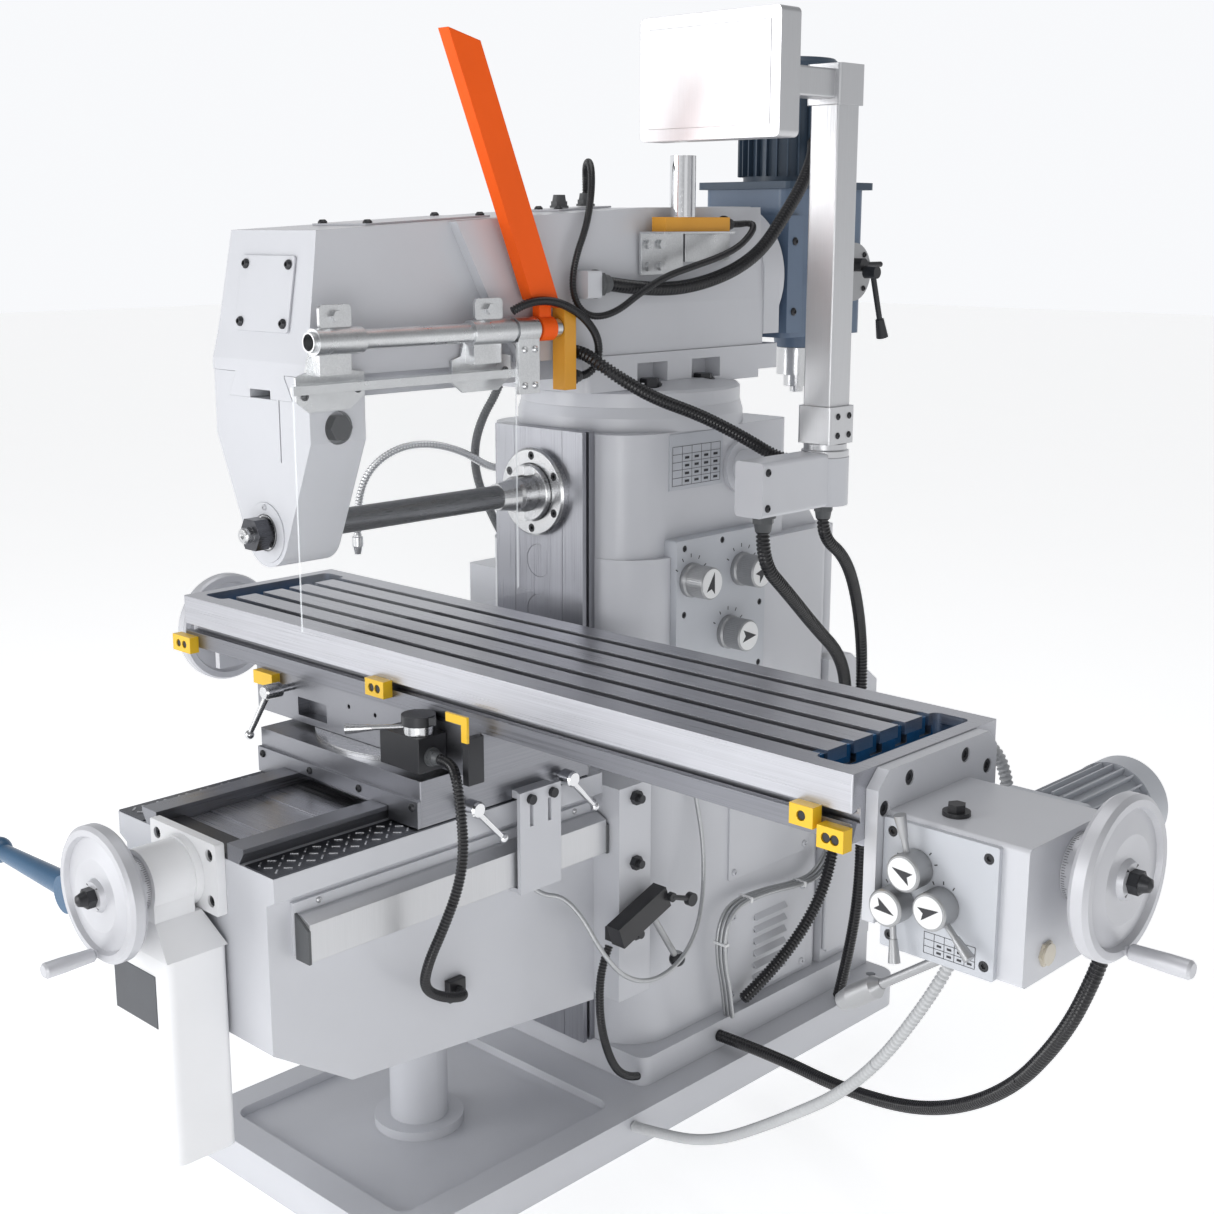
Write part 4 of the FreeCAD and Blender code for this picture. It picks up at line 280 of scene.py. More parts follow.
NODE_FINISH = {
    "white": "base_plinth column turret ram arbor_support pendant_bracket knee feed_gearbox "
             "left_end_bracket electrical_boxes cabinet_door",
    # painted light on the crossfeed bracket
    "painted_lit_white": "crossfeed_bracket",
    "white_panel": "column_plates feed_motor",
    "ways": "column_ways",
    "bright": "spindle_cap spindle head_spindle lead_screw elevating_screw swivel_clamp feed_trip_lever",
    "arbor": "milling_arbor motor_pulley",
    "knob": "speed_knob_1 speed_knob_2 speed_knob_3 feed_knob_1 feed_knob_2 feed_knob_3 lock_lever "
            "feed_lever",
    "wheel": "right_handwheel left_handwheel crossfeed_wheel",
    "galvanised": "guard_rail guard_sleeve",
    "orange": "guard_post",
    "ochre": "safety_switches",
    "blue_grey": "vertical_head",
    "black_steel": "head_lever feed_trip_unit",
    "saddle": "lower_saddle swivel_saddle",
    "cover_steel": "knee_covers",
    "aluminium": "knee_sensors pendant_post",
    "chrome": "saddle_clamp_1 saddle_clamp_2",
    "table": "table",
    "yellow": "trip_dogs",
    "blue": "knee_lever",
    "copper_coil": "main_motor",
    "shield": "guard_shield",
    "black": "column_conduits ram_conduits head_conduit ram_supply saddle_cables table_hoses",
}


# ---- finishes of the solids inside one node --------------------------------------------------
def islands(name):
    """The separate solids of a node: for each, its box in millimetres and its faces."""
    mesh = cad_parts[name].data
    points = np.empty(len(mesh.vertices) * 3)
    mesh.vertices.foreach_get("co", points)
    points = points.reshape(-1, 3)
    _, ids = np.unique(np.round(points, 6), axis=0, return_inverse=True)
    ids = ids.reshape(-1)
    starts = np.empty(len(mesh.polygons), int)
    mesh.polygons.foreach_get("loop_start", starts)
    corners = np.empty(len(mesh.loops), int)
    mesh.loops.foreach_get("vertex_index", corners)
    triangles = ids[np.stack([corners[starts], corners[starts + 1], corners[starts + 2]], axis=1)]
    label = np.arange(ids.max() + 1)
    while True:
        low = label[triangles].min(axis=1)
        fresh = label.copy()
        for k in range(3):
            np.minimum.at(fresh, triangles[:, k], low)
        fresh = fresh[fresh]
        if np.array_equal(fresh, label):
            break
        label = fresh
    face_label = label[triangles[:, 0]]
    unique_points = np.empty((len(label), 3))
    unique_points[ids] = points
    found = []
    for value in np.unique(face_label):
        faces = np.nonzero(face_label == value)[0]
        cloud = unique_points[triangles[faces].reshape(-1)] / MM
        found.append((cloud.min(axis=0), cloud.max(axis=0), faces))
    return found


def slot_for(name, finish):
    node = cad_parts[name]
    material = MAT[finish]
    index = node.data.materials.find(material.name)
    if index < 0:
        node.data.materials.append(material)
        index = len(node.data.materials) - 1
    return index


def paint_islands(name, finish, test):
    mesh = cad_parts[name].data
    index = slot_for(name, finish)
    for low, high, faces in ISLANDS[name]:
        if test(low, high):
            for face in faces:
                mesh.polygons[int(face)].material_index = index


def paint_box(name, finish, low, high):
    """Faces whose corners all lie in a box, in millimetres."""
    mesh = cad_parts[name].data
    index = slot_for(name, finish)
    points = np.empty(len(mesh.vertices) * 3)
    mesh.vertices.foreach_get("co", points)
    points = points.reshape(-1, 3) / MM
    inside = np.all((points >= np.array(low) - 0.05) & (points <= np.array(high) + 0.05), axis=1)
    for polygon in mesh.polygons:
        if all(inside[v] for v in polygon.vertices):
            polygon.material_index = index


def smaller_than(limit):
    return lambda low, high: float((high - low).max()) < limit


def within(low_corner, high_corner):
    floor_corner = np.array(low_corner) - BOX_SLACK
    roof_corner = np.array(high_corner) + BOX_SLACK
    return lambda low, high: bool(np.all(low >= floor_corner) and np.all(high <= roof_corner))


for finish, names in NODE_FINISH.items():
    for name in names.split():
        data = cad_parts[name].data
        data.materials.clear()
        data.materials.append(MAT[finish])
        data.polygons.foreach_set("material_index", [0] * len(data.polygons))

ISLANDS = {name: islands(name) for name in (
    "column_plates", "turret", "ram", "spindle_cap", "arbor_support", "vertical_head", "knee", "knee_covers",
    "crossfeed_bracket", "knee_sensors", "lower_saddle", "swivel_saddle", "feed_trip_unit", "table",
    "guard_rail",
    "guard_sleeve", "safety_switches", "trip_dogs", "feed_gearbox", "left_end_bracket", "pendant_bracket",
    "pendant_post", "speed_knob_1", "speed_knob_2", "speed_knob_3", "feed_knob_1", "feed_knob_2",
    "feed_knob_3",
    "milling_arbor", "feed_motor", "electrical_boxes", "main_motor", "spindle")}

for name, limit in (("column_plates", 22), ("turret", 60), ("ram", 20), ("vertical_head", 20), ("knee", 34),
                    ("crossfeed_bracket", 22), ("lower_saddle", 22), ("feed_gearbox", 24),
                    ("left_end_bracket", 22),
                    ("spindle_cap", 20), ("trip_dogs", 16), ("pendant_bracket", 16), ("pendant_post", 16),
                    ("safety_switches", 19)):
    paint_islands(name, "black_steel", smaller_than(limit))
paint_islands("ram", "dark_grey", within((-20, 30, 1752), (20, 160, 1790)))
paint_islands("ram", "dark_grey", within((135, -17, 1590), (190, 20, 1650)))
paint_islands("column_plates", "white", within((222, 310, 139), (240, 582, 701)))
paint_islands("arbor_support", "black_steel", within((110, -590, 1380), (140, -540, 1430)))
paint_islands("arbor_support", "bright", within((-32, -630, 1190), (32, -510, 1262)))
paint_islands("vertical_head", "bright", within((-46, 740, 1400), (46, 840, 1463)))
paint_islands("vertical_head", "knob", within((110, 740, 1560), (135, 870, 1690)))
paint_islands("vertical_head", "black_steel", within((133, 790, 1620), (165, 890, 1660)))
paint_islands("vertical_head", "dark_blue", within((-110, 630, 1809), (155, 850, 2065)))
paint_box("vertical_head", "dark_blue", (-130, 590, 1794), (130, 890, 1811))
paint_islands("knee_covers", "tread", lambda low, high: low[0] > 140 or high[0] < -140)
paint_islands("knee_covers", "tread_bar", lambda low, high: high[0] - low[0] < 20)
paint_islands("knee_covers", "black", within((-105, -795, 735), (105, -740, 746)))
paint_islands("crossfeed_bracket", "plate", within((-63, -914, 469), (63, -911, 561)))
paint_islands("crossfeed_bracket", "blue", within((-241, -917, 595), (-109, -837, 645)))
paint_islands("knee_sensors", "white", within((204, -751, 589), (213, -65, 680)))
paint_islands("knee_sensors", "black", within((270, -117, 426), (323, 28, 516)))
paint_islands("knee_sensors", "black_steel", within((321, 12, 460), (335, 90, 504)))
paint_islands("knee_sensors", "dark_grey", lambda low, high: high[1] - low[1] < 6 and high[2] - low[2] > 60)
paint_islands("lower_saddle", "white", within((213, -301, 571), (259, -199, 761)))
paint_islands("lower_saddle", "black_steel", within((-228, -505, 740), (228, -496, 789)))
paint_islands("swivel_saddle", "yellow", within((272, -480, 904), (326, -473, 950)))
paint_islands("swivel_saddle", "yellow", within((-300, -459, 885), (-239, -439, 912)))
paint_islands("swivel_saddle", "black_steel", within((307, -475, 830), (323, -439, 912)))
paint_islands("feed_trip_unit", "dark_grey", within((229, -491, 845), (253, -457, 879)))
paint_islands("table", "black", within((942, -401, 981), (962, -129, 1009)))
paint_islands("safety_switches", "galvanised",
              lambda low, high: high[0] - low[0] < 8 and high[2] - low[2] > 40)
paint_islands("safety_switches", "galvanised", within((145, 119, 1632), (207, 323, 1712)))
paint_islands("safety_switches", "chrome", within((148, 183, 1736), (198, 233, 1848)))
paint_islands("safety_switches", "black", within((151, -84, 1444), (185, -60, 1478)))
paint_islands("safety_switches", "black", within((156, 324, 1707), (190, 348, 1741)))
paint_islands("safety_switches", "galvanised", within((150, 128, 1639), (159, 182, 1697)))
paint_islands("guard_rail", "black_steel", within((137, -700, 1450), (143, -100, 1490)))
paint_islands("feed_gearbox", "black", within((1128, -362, 954), (1172, -318, 972)))
paint_islands("feed_gearbox", "amber", within((1289, -358, 780), (1298, -314, 818)))
paint_islands("feed_gearbox", "white_panel",
              lambda low, high: low[0] > 1075 and high[1] < -390.5 and high[0] - low[0] > 100)
paint_islands("pendant_bracket", "dark_grey", lambda low, high: high[2] < 1215)
paint_islands("feed_motor", "dark_grey", within((1240, -112, 820), (1290, -68, 852)))
paint_islands("electrical_boxes", "dark_grey", within((-125, 730, 175), (125, 801, 682)))
for k in (1, 2, 3):
    paint_islands("speed_knob_%d" % k, "disc", lambda low, high: low[0] > 289 and high[0] < 291.2)
    paint_islands("speed_knob_%d" % k, "print", lambda low, high: low[0] > 290.8)
    paint_islands("feed_knob_%d" % k, "disc",
                  lambda low, high: high[1] - low[1] < 1.2 and high[0] - low[0] > 35)
    paint_islands("feed_knob_%d" % k, "print", lambda low, high: high[1] - low[1] < 0.7)
paint_islands("milling_arbor", "bright", lambda low, high: high[1] > -40)
paint_islands("lower_saddle", "bright", within((-223, -488, 821.5), (223, -42, 830.5)))
paint_box("knee", "saddle", (-149, -796, 735), (149, -60, 770))
paint_box("right_handwheel", "black_steel", (1366, -284, 880), (1400, -246, 920))
paint_box("left_handwheel", "black_steel", (-724, -284, 880), (-691, -246, 920))
paint_box("crossfeed_wheel", "black_steel", (-19, -1010, 677), (19, -976, 717))
paint_box("lock_lever", "black_steel", (272, 70, 300), (300, 140, 345))
# painted dark reflection on the table's front face
paint_box("table", "table_front_painted_dark", (-546, -446, 915), (1056, -430, 1013.9))
paint_box("table", "trough", (-520, -420, 978), (-440, -110, 1013.9))
paint_box("table", "trough", (940, -420, 978), (1040, -110, 1013.9))
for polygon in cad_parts["guard_shield"].data.polygons:
    if abs(polygon.normal.x) < 0.5 and polygon.center.z > 1.107:
        polygon.material_index = slot_for("guard_shield", "shield_edge")


# ---- meshes ---------------------------------------------------------------------------------
def add_mesh(name, vertices, faces, finish, body=None, smooth=True):
    mesh = bpy.data.meshes.new(name)
    mesh.from_pydata([tuple(v) for v in vertices], [], faces)
    mesh.materials.append(MAT[finish])
    if smooth:
        mesh.polygons.foreach_set("use_smooth", [True] * len(mesh.polygons))
    thing = bpy.data.objects.new(name, mesh)
    bpy.context.scene.collection.objects.link(thing)
    if body:
        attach(thing, body)
    return thing


def route_line(points):
    """Even steps along the smooth spline that a route's points control."""
    curve = bpy.data.curves.new("route", "CURVE")
    curve.dimensions = "3D"
    spline = curve.splines.new("NURBS")
    spline.points.add(len(points) - 1)
    for target, point in zip(spline.points, points):
        target.co = (*[c * MM for c in point], 1.0)
    spline.order_u = 3
    spline.use_endpoint_u = True
    spline.resolution_u = 24
    thing = bpy.data.objects.new("route", curve)
    bpy.context.scene.collection.objects.link(thing)
    mesh = bpy.data.meshes.new_from_object(thing)
    line = np.array([v.co for v in mesh.vertices], float)
    bpy.data.objects.remove(thing)
    bpy.data.meshes.remove(mesh)
    keep = np.concatenate([[True], np.linalg.norm(np.diff(line, axis=0), axis=1) > 1e-7])
    return line[keep]


def resample(line, step):
    lengths = np.concatenate([[0], np.cumsum(np.linalg.norm(np.diff(line, axis=0), axis=1))])
    count = max(4, int(round(lengths[-1] / step)))
    at = np.linspace(0, lengths[-1], count + 1)
    return np.stack([np.interp(at, lengths, line[:, k]) for k in range(3)], axis=1)


def sweep(line, radii, sides):
    """Rings round a line, turned as little as possible from one to the next."""
    tangents = np.gradient(line, axis=0)
    tangents /= np.linalg.norm(tangents, axis=1)[:, None]
    up = np.array([0.0, 0.0, 1.0]) if abs(tangents[0][2]) < 0.9 else np.array([1.0, 0.0, 0.0])
    across = np.cross(tangents[0], up)
    across /= np.linalg.norm(across)
    angles = np.linspace(0, 2 * math.pi, sides, endpoint=False)
    rings = []
    for point, tangent, radius in zip(line, tangents, radii):
        across = across - tangent * np.dot(across, tangent)
        across /= np.linalg.norm(across)
        other = np.cross(tangent, across)
        rings.append(point + radius * (np.cos(angles)[:, None] * across + np.sin(angles)[:, None] * other))
    vertices = np.concatenate(rings)
    faces = []
    for ring in range(len(line) - 1):
        for side in range(sides):
            a = ring * sides + side
            b = ring * sides + (side + 1) % sides
            faces.append((a, b, b + sides, a + sides))
    faces.append(tuple(range(sides))[::-1])
    last = (len(line) - 1) * sides
    faces.append(tuple(last + side for side in range(sides)))
    return vertices, faces


RIB = (1.0, 1.0, 0.80, 0.80)
BRAID = (1.0, 0.97, 1.0, 0.97)


def conduit(name, route, radius, pitch, finish, chain, cuts=(), profile=RIB, sides=18):
    """A ribbed conduit along a route, cut into stretches at the shares in cuts. With one body in the chain it
    is attached to that body; with more, its stretches are left unattached.
    """
    line = resample(route_line(route), pitch * MM / len(profile))
    radii = radius * MM * np.array([profile[k % len(profile)] for k in range(len(line))])
    ends = [0] + [int(len(line) * share) for share in cuts] + [len(line) - 1]
    made = []
    for index, (start, end) in enumerate(zip(ends, ends[1:])):
        vertices, faces = sweep(line[start:end + 1], radii[start:end + 1], sides)
        label = name if len(ends) == 2 else "%s_%d" % (name, index + 1)
        if len(chain) == 1:
            piece = add_mesh(label, vertices, faces, finish, chain[0])
        else:
            piece = add_mesh(label, vertices, faces, finish)
            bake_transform(piece)
        made.append(piece)
    return made


def lathe(name, profile, origin, axis, finish, body, sides=32):
    """Profile of (radius, distance along the axis) in millimetres, turned about the axis."""
    axis = Vector(axis).normalized()
    side = axis.orthogonal().normalized()
    other = axis.cross(side)
    origin = Vector(origin)
    vertices = []
    for radius, height in profile:
        for k in range(sides):
            turn = 2 * math.pi * k / sides
            outward = side * math.cos(turn) + other * math.sin(turn)
            vertices.append((origin + axis * height + outward * radius) * MM)
    faces = []
    for ring in range(len(profile) - 1):
        for k in range(sides):
            a = ring * sides + k
            b = ring * sides + (k + 1) % sides
            faces.append((a, b, b + sides, a + sides))
    faces.append(tuple(range(sides))[::-1])
    last = (len(profile) - 1) * sides
    faces.append(tuple(last + k for k in range(sides)))
    return add_mesh(name, vertices, faces, finish, body, smooth=False)


def slab(name, low, high, finish, body, bevel=1.0):
    """A block with rounded edges; corners in millimetres."""
    mesh = bpy.data.meshes.new(name)
    shape = bmesh.new()
    bmesh.ops.create_cube(shape, size=1.0)
    size = Vector(high) - Vector(low)
    centre = (Vector(high) + Vector(low)) / 2
    for vertex in shape.verts:
        vertex.co = Vector([vertex.co[k] * size[k] + centre[k] for k in range(3)]) * MM
    if bevel > 0:
        bmesh.ops.bevel(shape, geom=shape.edges[:], offset=bevel * MM, segments=3, profile=0.5,
                        affect="EDGES")
    shape.to_mesh(mesh)
    shape.free()
    mesh.materials.append(MAT[finish])
    thing = bpy.data.objects.new(name, mesh)
    bpy.context.scene.collection.objects.link(thing)
    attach(thing, body)
    return thing


# ---- conduits, hoses and cables ----------------------------------------------------------------
PENDANT_FRONT = [(424, 150, 1184), (424, 150, 1126), (410, 242, 1058), (370, 387, 959), (326, 536, 868),
                 (300, 600, 770), (290, 612, 620), (286, 600, 470), (287, 566, 350), (278, 500, 262),
                 (262, 412, 190), (248, 340, 150)]
PENDANT_REAR = [(420, 335, 1185.5), (420, 335, 1150), (408, 424, 1100), (370, 520, 1010), (334, 600, 880),
                (332, 606, 740), (341, 604, 560), (344, 610, 380), (322, 616, 210), (290, 618, 74)]
SIGNAL = [(-262, 160, 1030), (-262, 160, 1070), (-261, 112, 1146), (-256, 70, 1222), (-240, 52, 1290),
          (-208, 46, 1350), (-178, 58, 1400), (-162, 64, 1440)]
COOLANT = [(-220, 119.8, 1240), (-220, 84, 1240), (-226, 10, 1284), (-242, -66, 1306), (-264, -130, 1300),
           (-284, -184, 1262), (-290, -210, 1196), (-290, -210, 1136)]
SWITCH_LOOP = [(168, -60.8, 1461), (168, -38, 1461), (178, -22, 1484), (190, -32, 1524), (194, -66, 1560),
               (194, -112, 1586), (191, -160, 1598), (184, -206, 1594), (176, -228, 1581)]
INTERLOCK = [(0, 128, 1781.4), (0, 128, 1808), (22, 106, 1832), (62, 74, 1838), (104, 38, 1818),
             (136, 4, 1776), (154, -26, 1722), (158, -60, 1664), (161, -72, 1612), (167, -56, 1574),
             (178, -26, 1562), (191, 14, 1572), (199, 66, 1604), (203, 130, 1632), (207, 200, 1648),
             (210, 272, 1664), (209, 330, 1682), (206, 372, 1708), (194, 392, 1724), (178, 390, 1726),
             (172.8, 372, 1724), (172.8, 347.2, 1724)]
HEAD_LINE = [(163, 20, 1620), (166, 74, 1612), (175, 180, 1606), (182, 272, 1618),
             (186, 358, 1642), (188, 429, 1678), (186, 490, 1734), (180, 560, 1800),
             (158, 626, 1866), (120, 668, 1893), (120, 699.7, 1893)]
RAM_LINE = [(146, -60, 1504), (176, -60, 1504), (214, -52, 1482), (240, -16, 1452), (258, 46, 1418),
            (284, 133, 1386), (320, 214, 1342), (350, 286, 1296), (387.6, 286, 1296)]
TRIP_LINE = [(252.4, -474, 862), (280, -474, 862), (316, -494, 846), (331, -499, 790), (334, -498, 730),
             (330, -506, 670), (312, -524, 600), (286, -540, 530), (262, -530, 474),
             (257, -478, 438), (250, -416, 420), (205.8, -416, 420)]
LIMIT_LINE = [(306, -126, 436), (303, -140, 404), (300, -146, 350), (300, -140, 270),
              (292, -100, 180), (274, -40, 128), (253, 10, 104)]
SCALE_LINE = [(240, -252, 567), (248, -238, 552), (270, -210, 548), (296, -186, 510), (328, -166, 440),
              (334, -112, 376), (328, -32, 340), (314, 60, 342), (294, 134, 376), (268, 184, 434),
              (248, 206, 526), (238, 194, 620), (228, 188, 690)]
POWER_LINE = [(1264, -90, 826), (1264, -96, 760), (1250, -110, 680), (1200, -100, 560), (1080, -40, 400),
              (880, 60, 250), (640, 160, 160), (400, 252, 110), (253.5, 258, 100)]
DRAIN_LINE = [(1030, -84.8, 965), (1030, -58, 965), (1046, -42, 930), (1058, -44, 880), (1060, -70, 810),
              (1050, -112, 720), (1020, -150, 600), (900, -170, 400), (700, -140, 240), (520, -90, 110),
              (360, -62, 56), (311.5, -62, 50)]
TABLE_CHAIN = ("table", "swivel_saddle", "lower_saddle", "knee", "frame")

column_lines = conduit("pendant_conduit_front", PENDANT_FRONT, 13, 7.5, "conduit", ["frame"])
column_lines += conduit("pendant_conduit_rear", PENDANT_REAR, 12, 7.2, "conduit", ["frame"])
column_lines += conduit("signal_conduit", SIGNAL, 9, 6.0, "hose_dark", ["frame"])
column_lines += conduit("coolant_gooseneck", COOLANT, 8, 6.4, "bright", ["frame"])
for strand in range(3):
    x = 241 + 10 * strand
    strand_route = [(x, 622, 396), (x, 590, 356), (x, 500, 358), (x, 411, 372), (x, 300, 376),
                    (x, 262, 334), (x, 262, 262), (x, 282, 190), (x, 290, 131)]
    column_lines += conduit("braided_line_%d" % (strand + 1), strand_route, 4.5, 3.0, "braid", ["frame"],
                            profile=BRAID, sides=12)
column_lines.append(lathe("coolant_nozzle", [(4, 0), (6, 0), (9, 14), (11, 16), (11, 34), (8, 35), (8, 38),
                                             (4, 38)],
                          (-290, -210, 1098), (0, 0, 1), "bright", "frame"))
column_lines.append(slab("coolant_socket", (-235.8, 120.2, 1224.2), (-205.4, 159.8, 1255.8), "dark_grey",
                         "frame", 3))
for piece in column_lines:
    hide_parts("column_conduits")
for piece in conduit("switch_conduit", SWITCH_LOOP, 7.5, 5.2, "conduit", ["ram"]):
    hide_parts("ram_conduits")
for piece in conduit("interlock_conduit", INTERLOCK, 6.5, 5.0, "conduit", ["ram"]):
    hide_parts("ram_conduits")
for piece in conduit("head_supply_conduit", HEAD_LINE, 13, 7.5, "conduit", ["ram", "head"]):
    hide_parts("head_conduit")
for piece in conduit("ram_supply_conduit", RAM_LINE, 12, 7.2, "conduit", ["ram", "frame"]):
    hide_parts("ram_supply")
saddle_lines = conduit("feed_trip_conduit", TRIP_LINE, 9, 6.2, "conduit",
                       ["swivel_saddle", "lower_saddle", "knee"],
                       cuts=(0.45,))
saddle_lines += conduit("limit_switch_cable", LIMIT_LINE, 8, 5.8, "conduit", ["knee", "frame"])
saddle_lines += conduit("scale_cable", SCALE_LINE, 4.5, 3.0, "braid", ["knee", "frame"], profile=BRAID,
                        sides=12)
for piece in saddle_lines:
    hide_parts("saddle_cables")
table_lines = conduit("feed_motor_conduit", POWER_LINE, 12, 7.2, "conduit", TABLE_CHAIN,
                      cuts=(0.3, 0.45, 0.6))
table_lines += conduit("table_drain_hose", DRAIN_LINE, 10, 8.0, "hose_grey", TABLE_CHAIN,
                       cuts=(0.3, 0.45, 0.6))
for piece in table_lines:
    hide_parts("table_hoses")


# ---- dial marks, charts, ties and clips -----------------------------------------------------------
def block_mesh(blocks):
    """Many thin blocks as one mesh: each is (centre, half x vector, half y vector, half z vector)."""
    vertices = []
    faces = []
    for centre, a, b, c in blocks:
        first = len(vertices)
        for i in (-1, 1):
            for j in (-1, 1):
                for k in (-1, 1):
                    vertices.append((Vector(centre) + Vector(a) * i + Vector(b) * j + Vector(c) * k) * MM)
        for face in ((0, 1, 3, 2), (4, 6, 7, 5), (0, 4, 5, 1), (2, 3, 7, 6), (0, 2, 6, 4), (1, 5, 7, 3)):
            faces.append(tuple(first + n for n in face))
    return vertices, faces


def dial_ticks(name, centre, axis, radius, count, body, length=5.0):
    """Graduation marks round a dial's rim; every fifth is longer."""
    axis = Vector(axis).normalized()
    side = axis.orthogonal().normalized()
    other = axis.cross(side)
    blocks = []
    for k in range(count):
        turn = 2 * math.pi * k / count
        out = side * math.cos(turn) + other * math.sin(turn)
        half = length / 2 * (1.5 if k % 5 == 0 else 1.0)
        blocks.append((Vector(centre) + out * radius + axis * half, axis * half, out.cross(axis) * 0.35,
                       out * 0.12))
    vertices, faces = block_mesh(blocks)
    return add_mesh(name, vertices, faces, "print", body, smooth=False)


def arc_ticks(name, centre, across, up, radius, turns, body, size=(1.0, 3.6)):
    """Marks on a panel round a knob; turns are in degrees from up."""
    across = Vector(across)
    up = Vector(up)
    out_of = across.cross(up) * 0.12
    blocks = []
    for degrees in turns:
        turn = math.radians(degrees)
        out = up * math.cos(turn) + across * math.sin(turn)
        blocks.append((Vector(centre) + out * radius, out * size[1], out.cross(out_of.normalized()) * size[0],
                       out_of))
    vertices, faces = block_mesh(blocks)
    return add_mesh(name, vertices, faces, "print", body, smooth=False)


def chart(name, corner, across, up, width, height, columns, rows, body, filled=()):
    """A plain printed table: grid lines, and grey cells at the places in filled."""
    corner = Vector(corner)
    across = Vector(across)
    up = Vector(up)
    out_of = across.cross(up) * 0.1
    blocks = []
    for k in range(columns + 1):
        middle = corner + across * width * k / columns + up * height / 2
        blocks.append((middle, across * 0.35, up * height / 2, out_of))
    for k in range(rows + 1):
        middle = corner + up * height * k / rows + across * width / 2
        blocks.append((middle, across * width / 2, up * 0.35, out_of))
    for column, row in filled:
        middle = corner + across * width * (column + 0.5) / columns + up * height * (row + 0.5) / rows
        blocks.append((middle, across * width / columns * 0.22, up * height / rows * 0.16, out_of))
    vertices, faces = block_mesh(blocks)
    return add_mesh(name, vertices, faces, "print", body, smooth=False)


Y_DIRECTION = (0, 1, 0)
X_DIRECTION = (1, 0, 0)
Z_DIRECTION = (0, 0, 1)
dial_ticks("right_dial_marks", (1292, -265, 900), X_DIRECTION, 47.1, 80, "right_handwheel")
dial_ticks("left_dial_marks", (-617, -265, 900), (-1, 0, 0), 47.1, 80, "left_handwheel")
dial_ticks("cross_dial_marks", (0, -902, 697), (0, -1, 0), 47.1, 80, "crossfeed_wheel")
for k, (y, z) in enumerate(((170, 1066), (320, 1066), (282, 946)), 1):
    arc_ticks("speed_marks_%d" % k, (237.2, y, z), Y_DIRECTION, Z_DIRECTION, 47, range(-60, 61, 30), "frame")
for k, (x, z) in enumerate(((1130, 892), (1104, 836), (1172, 850)), 1):
    arc_ticks("feed_marks_%d" % k, (x, -399.2, z), X_DIRECTION, Z_DIRECTION, 31,
              (-70, -40, 40, 70) if k != 3 else (-30, 0, 30), "table", (0.8, 2.4))
chart("speed_chart_lines", (207.6, 148, 1243), Y_DIRECTION, Z_DIRECTION, 138, 74, 5, 5, "frame",
      [(c, r) for c in range(1, 5) for r in range(4)])
chart("feed_chart_lines", (1146, -399.3, 776), X_DIRECTION, Z_DIRECTION, 78, 30, 5, 3, "table",
      [(c, r) for c in range(1, 5) for r in range(2)])
for k, (y, z) in enumerate(((520, 357), (340, 375), (262, 300)), 1):
    low = (234, y - 3, z - 6) if k < 3 else (234, y - 6, z - 3)
    high = (268, y + 3, z + 6) if k < 3 else (268, y + 6, z + 3)
    slab("cable_tie_%d" % k, low, high, "disc", "frame", 1.5)
slab("trip_conduit_clip", (205.3, -436, 400), (220, -398, 440), "black", "knee", 2)


# ---- stage, lights and camera ------------------------------------------------------------------
def floor_plane():
    mesh = bpy.data.meshes.new("floor")
    size = FLOOR_HALF
    mesh.from_pydata([(-size, -size, -FLOOR_DROP), (size, -size, -FLOOR_DROP), (size, size, -FLOOR_DROP),
                      (-size, size, -FLOOR_DROP)],
                     [], [(0, 1, 2, 3)])
    mesh.materials.append(MAT["floor"])
    shader = MAT["floor"].node_tree.nodes["Principled BSDF"]
    shader.inputs["Emission Color"].default_value = (1.0, 1.0, 1.0, 1.0)
    shader.inputs["Emission Strength"].default_value = FLOOR_GLOW
    thing = bpy.data.objects.new("floor", mesh)
    bpy.context.scene.collection.objects.link(thing)


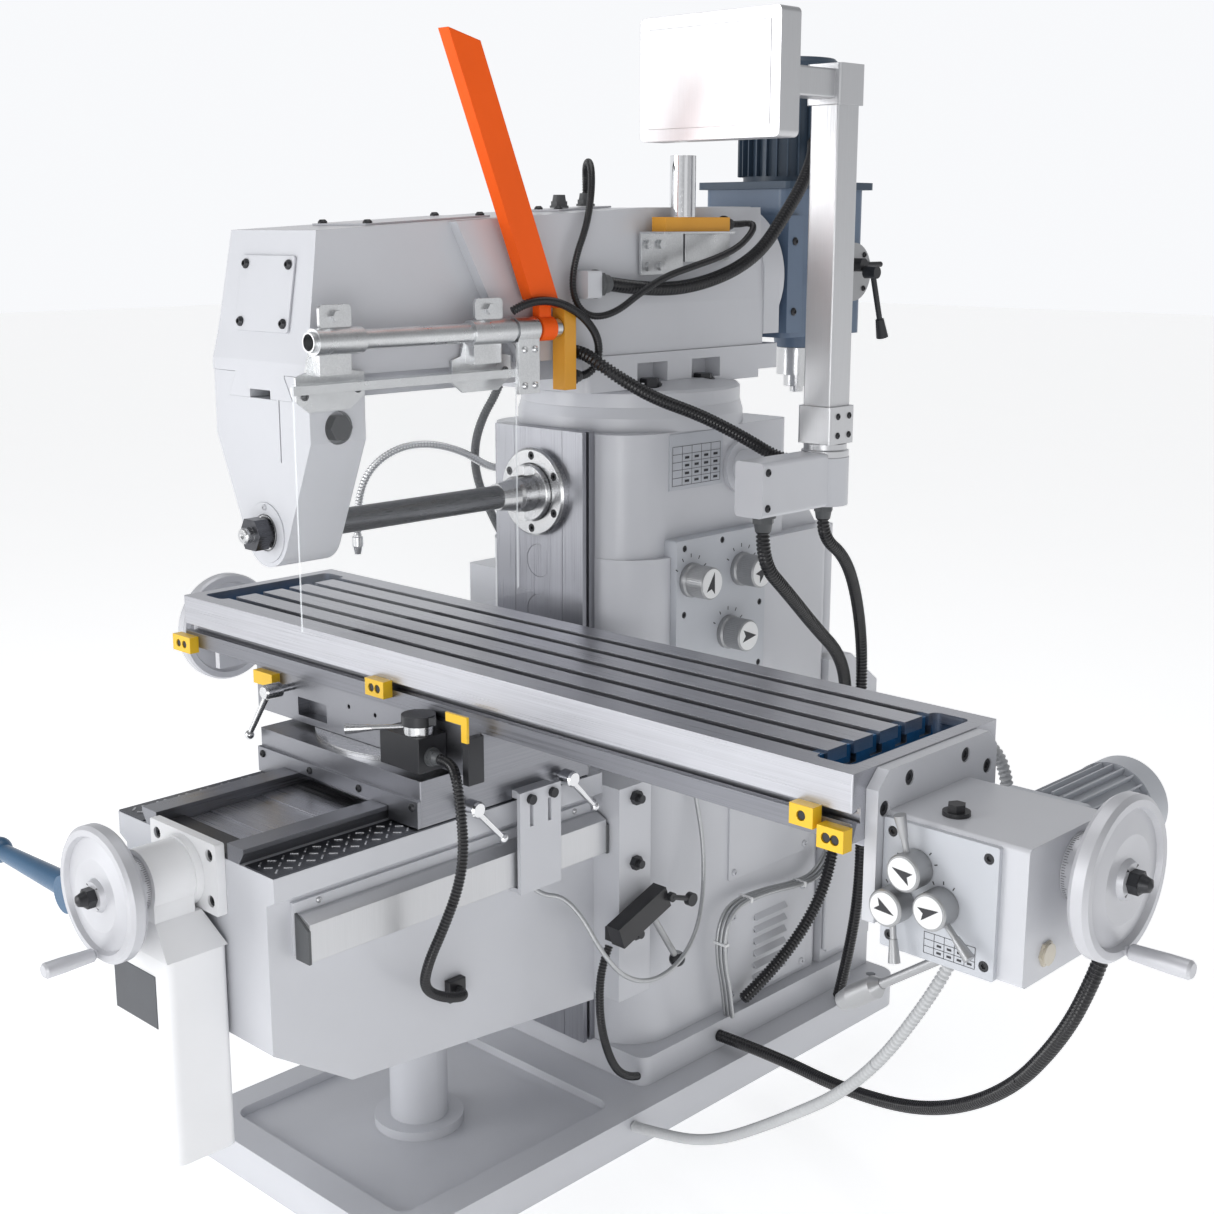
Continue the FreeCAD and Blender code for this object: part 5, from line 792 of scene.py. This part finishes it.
def soft_light(name, place, target, size, watts):
    data = bpy.data.lights.new(name, "AREA")
    data.shape = "SQUARE"
    data.size = size
    data.energy = watts
    light = bpy.data.objects.new(name, data)
    light.location = place
    light.rotation_euler = (Vector(target) - Vector(place)).to_track_quat("-Z", "Y").to_euler()
    bpy.context.scene.collection.objects.link(light)


def studio():
    world = bpy.data.worlds.new("studio")
    world.use_nodes = True
    tree = world.node_tree
    background = tree.nodes["Background"]
    coords = tree.nodes.new("ShaderNodeTexCoord")
    parts = tree.nodes.new("ShaderNodeSeparateXYZ")
    tree.links.new(coords.outputs["Generated"], parts.inputs["Vector"])
    by_height = span(tree, parts.outputs["Z"], 0.97, 0.36, 0.12, 0.55)
    by_side = span(tree, parts.outputs["X"], 1.0, 0.55, -0.1, 0.7)
    strength = tree.nodes.new("ShaderNodeMath")
    strength.operation = "MULTIPLY"
    tree.links.new(by_height, strength.inputs[0])
    tree.links.new(by_side, strength.inputs[1])
    tree.links.new(strength.outputs[0], background.inputs["Strength"])
    background.inputs["Color"].default_value = (0.97, 0.98, 1.0, 1.0)
    bpy.context.scene.world = world
    middle = (0.2, -0.1, 1.0)
    soft_light("key", (-2.2, -4.6, 1.9), middle, 2.5, 80)
    soft_light("fill", (4.6, -1.6, 2.6), middle, 2.5, 6)
    soft_light("low_fill", (2.2, -3.1, 0.9), (0.3, -0.7, 0.7), 1.4, 20)
    soft_light("top", (0.2, 0.0, 5.2), middle, 3.0, 42)


def photo_camera():
    data = bpy.data.cameras.new("camera")
    data.sensor_width = 36.0
    data.lens = 50.20
    data.shift_x = 0.00805
    data.shift_y = -0.00159
    data.clip_end = 100.0
    camera = bpy.data.objects.new("camera", data)
    dip = Matrix.Rotation(math.radians(90 - CAMERA_DIP), 4, "X")
    turn = Matrix.Rotation(math.radians(CAMERA_TURN), 4, "Z") @ dip
    camera.matrix_world = Matrix.Translation(CAMERA_PLACE) @ turn
    bpy.context.scene.collection.objects.link(camera)
    bpy.context.scene.camera = camera


floor_plane()
studio()
photo_camera()
bpy.context.scene.view_settings.view_transform = "Standard"
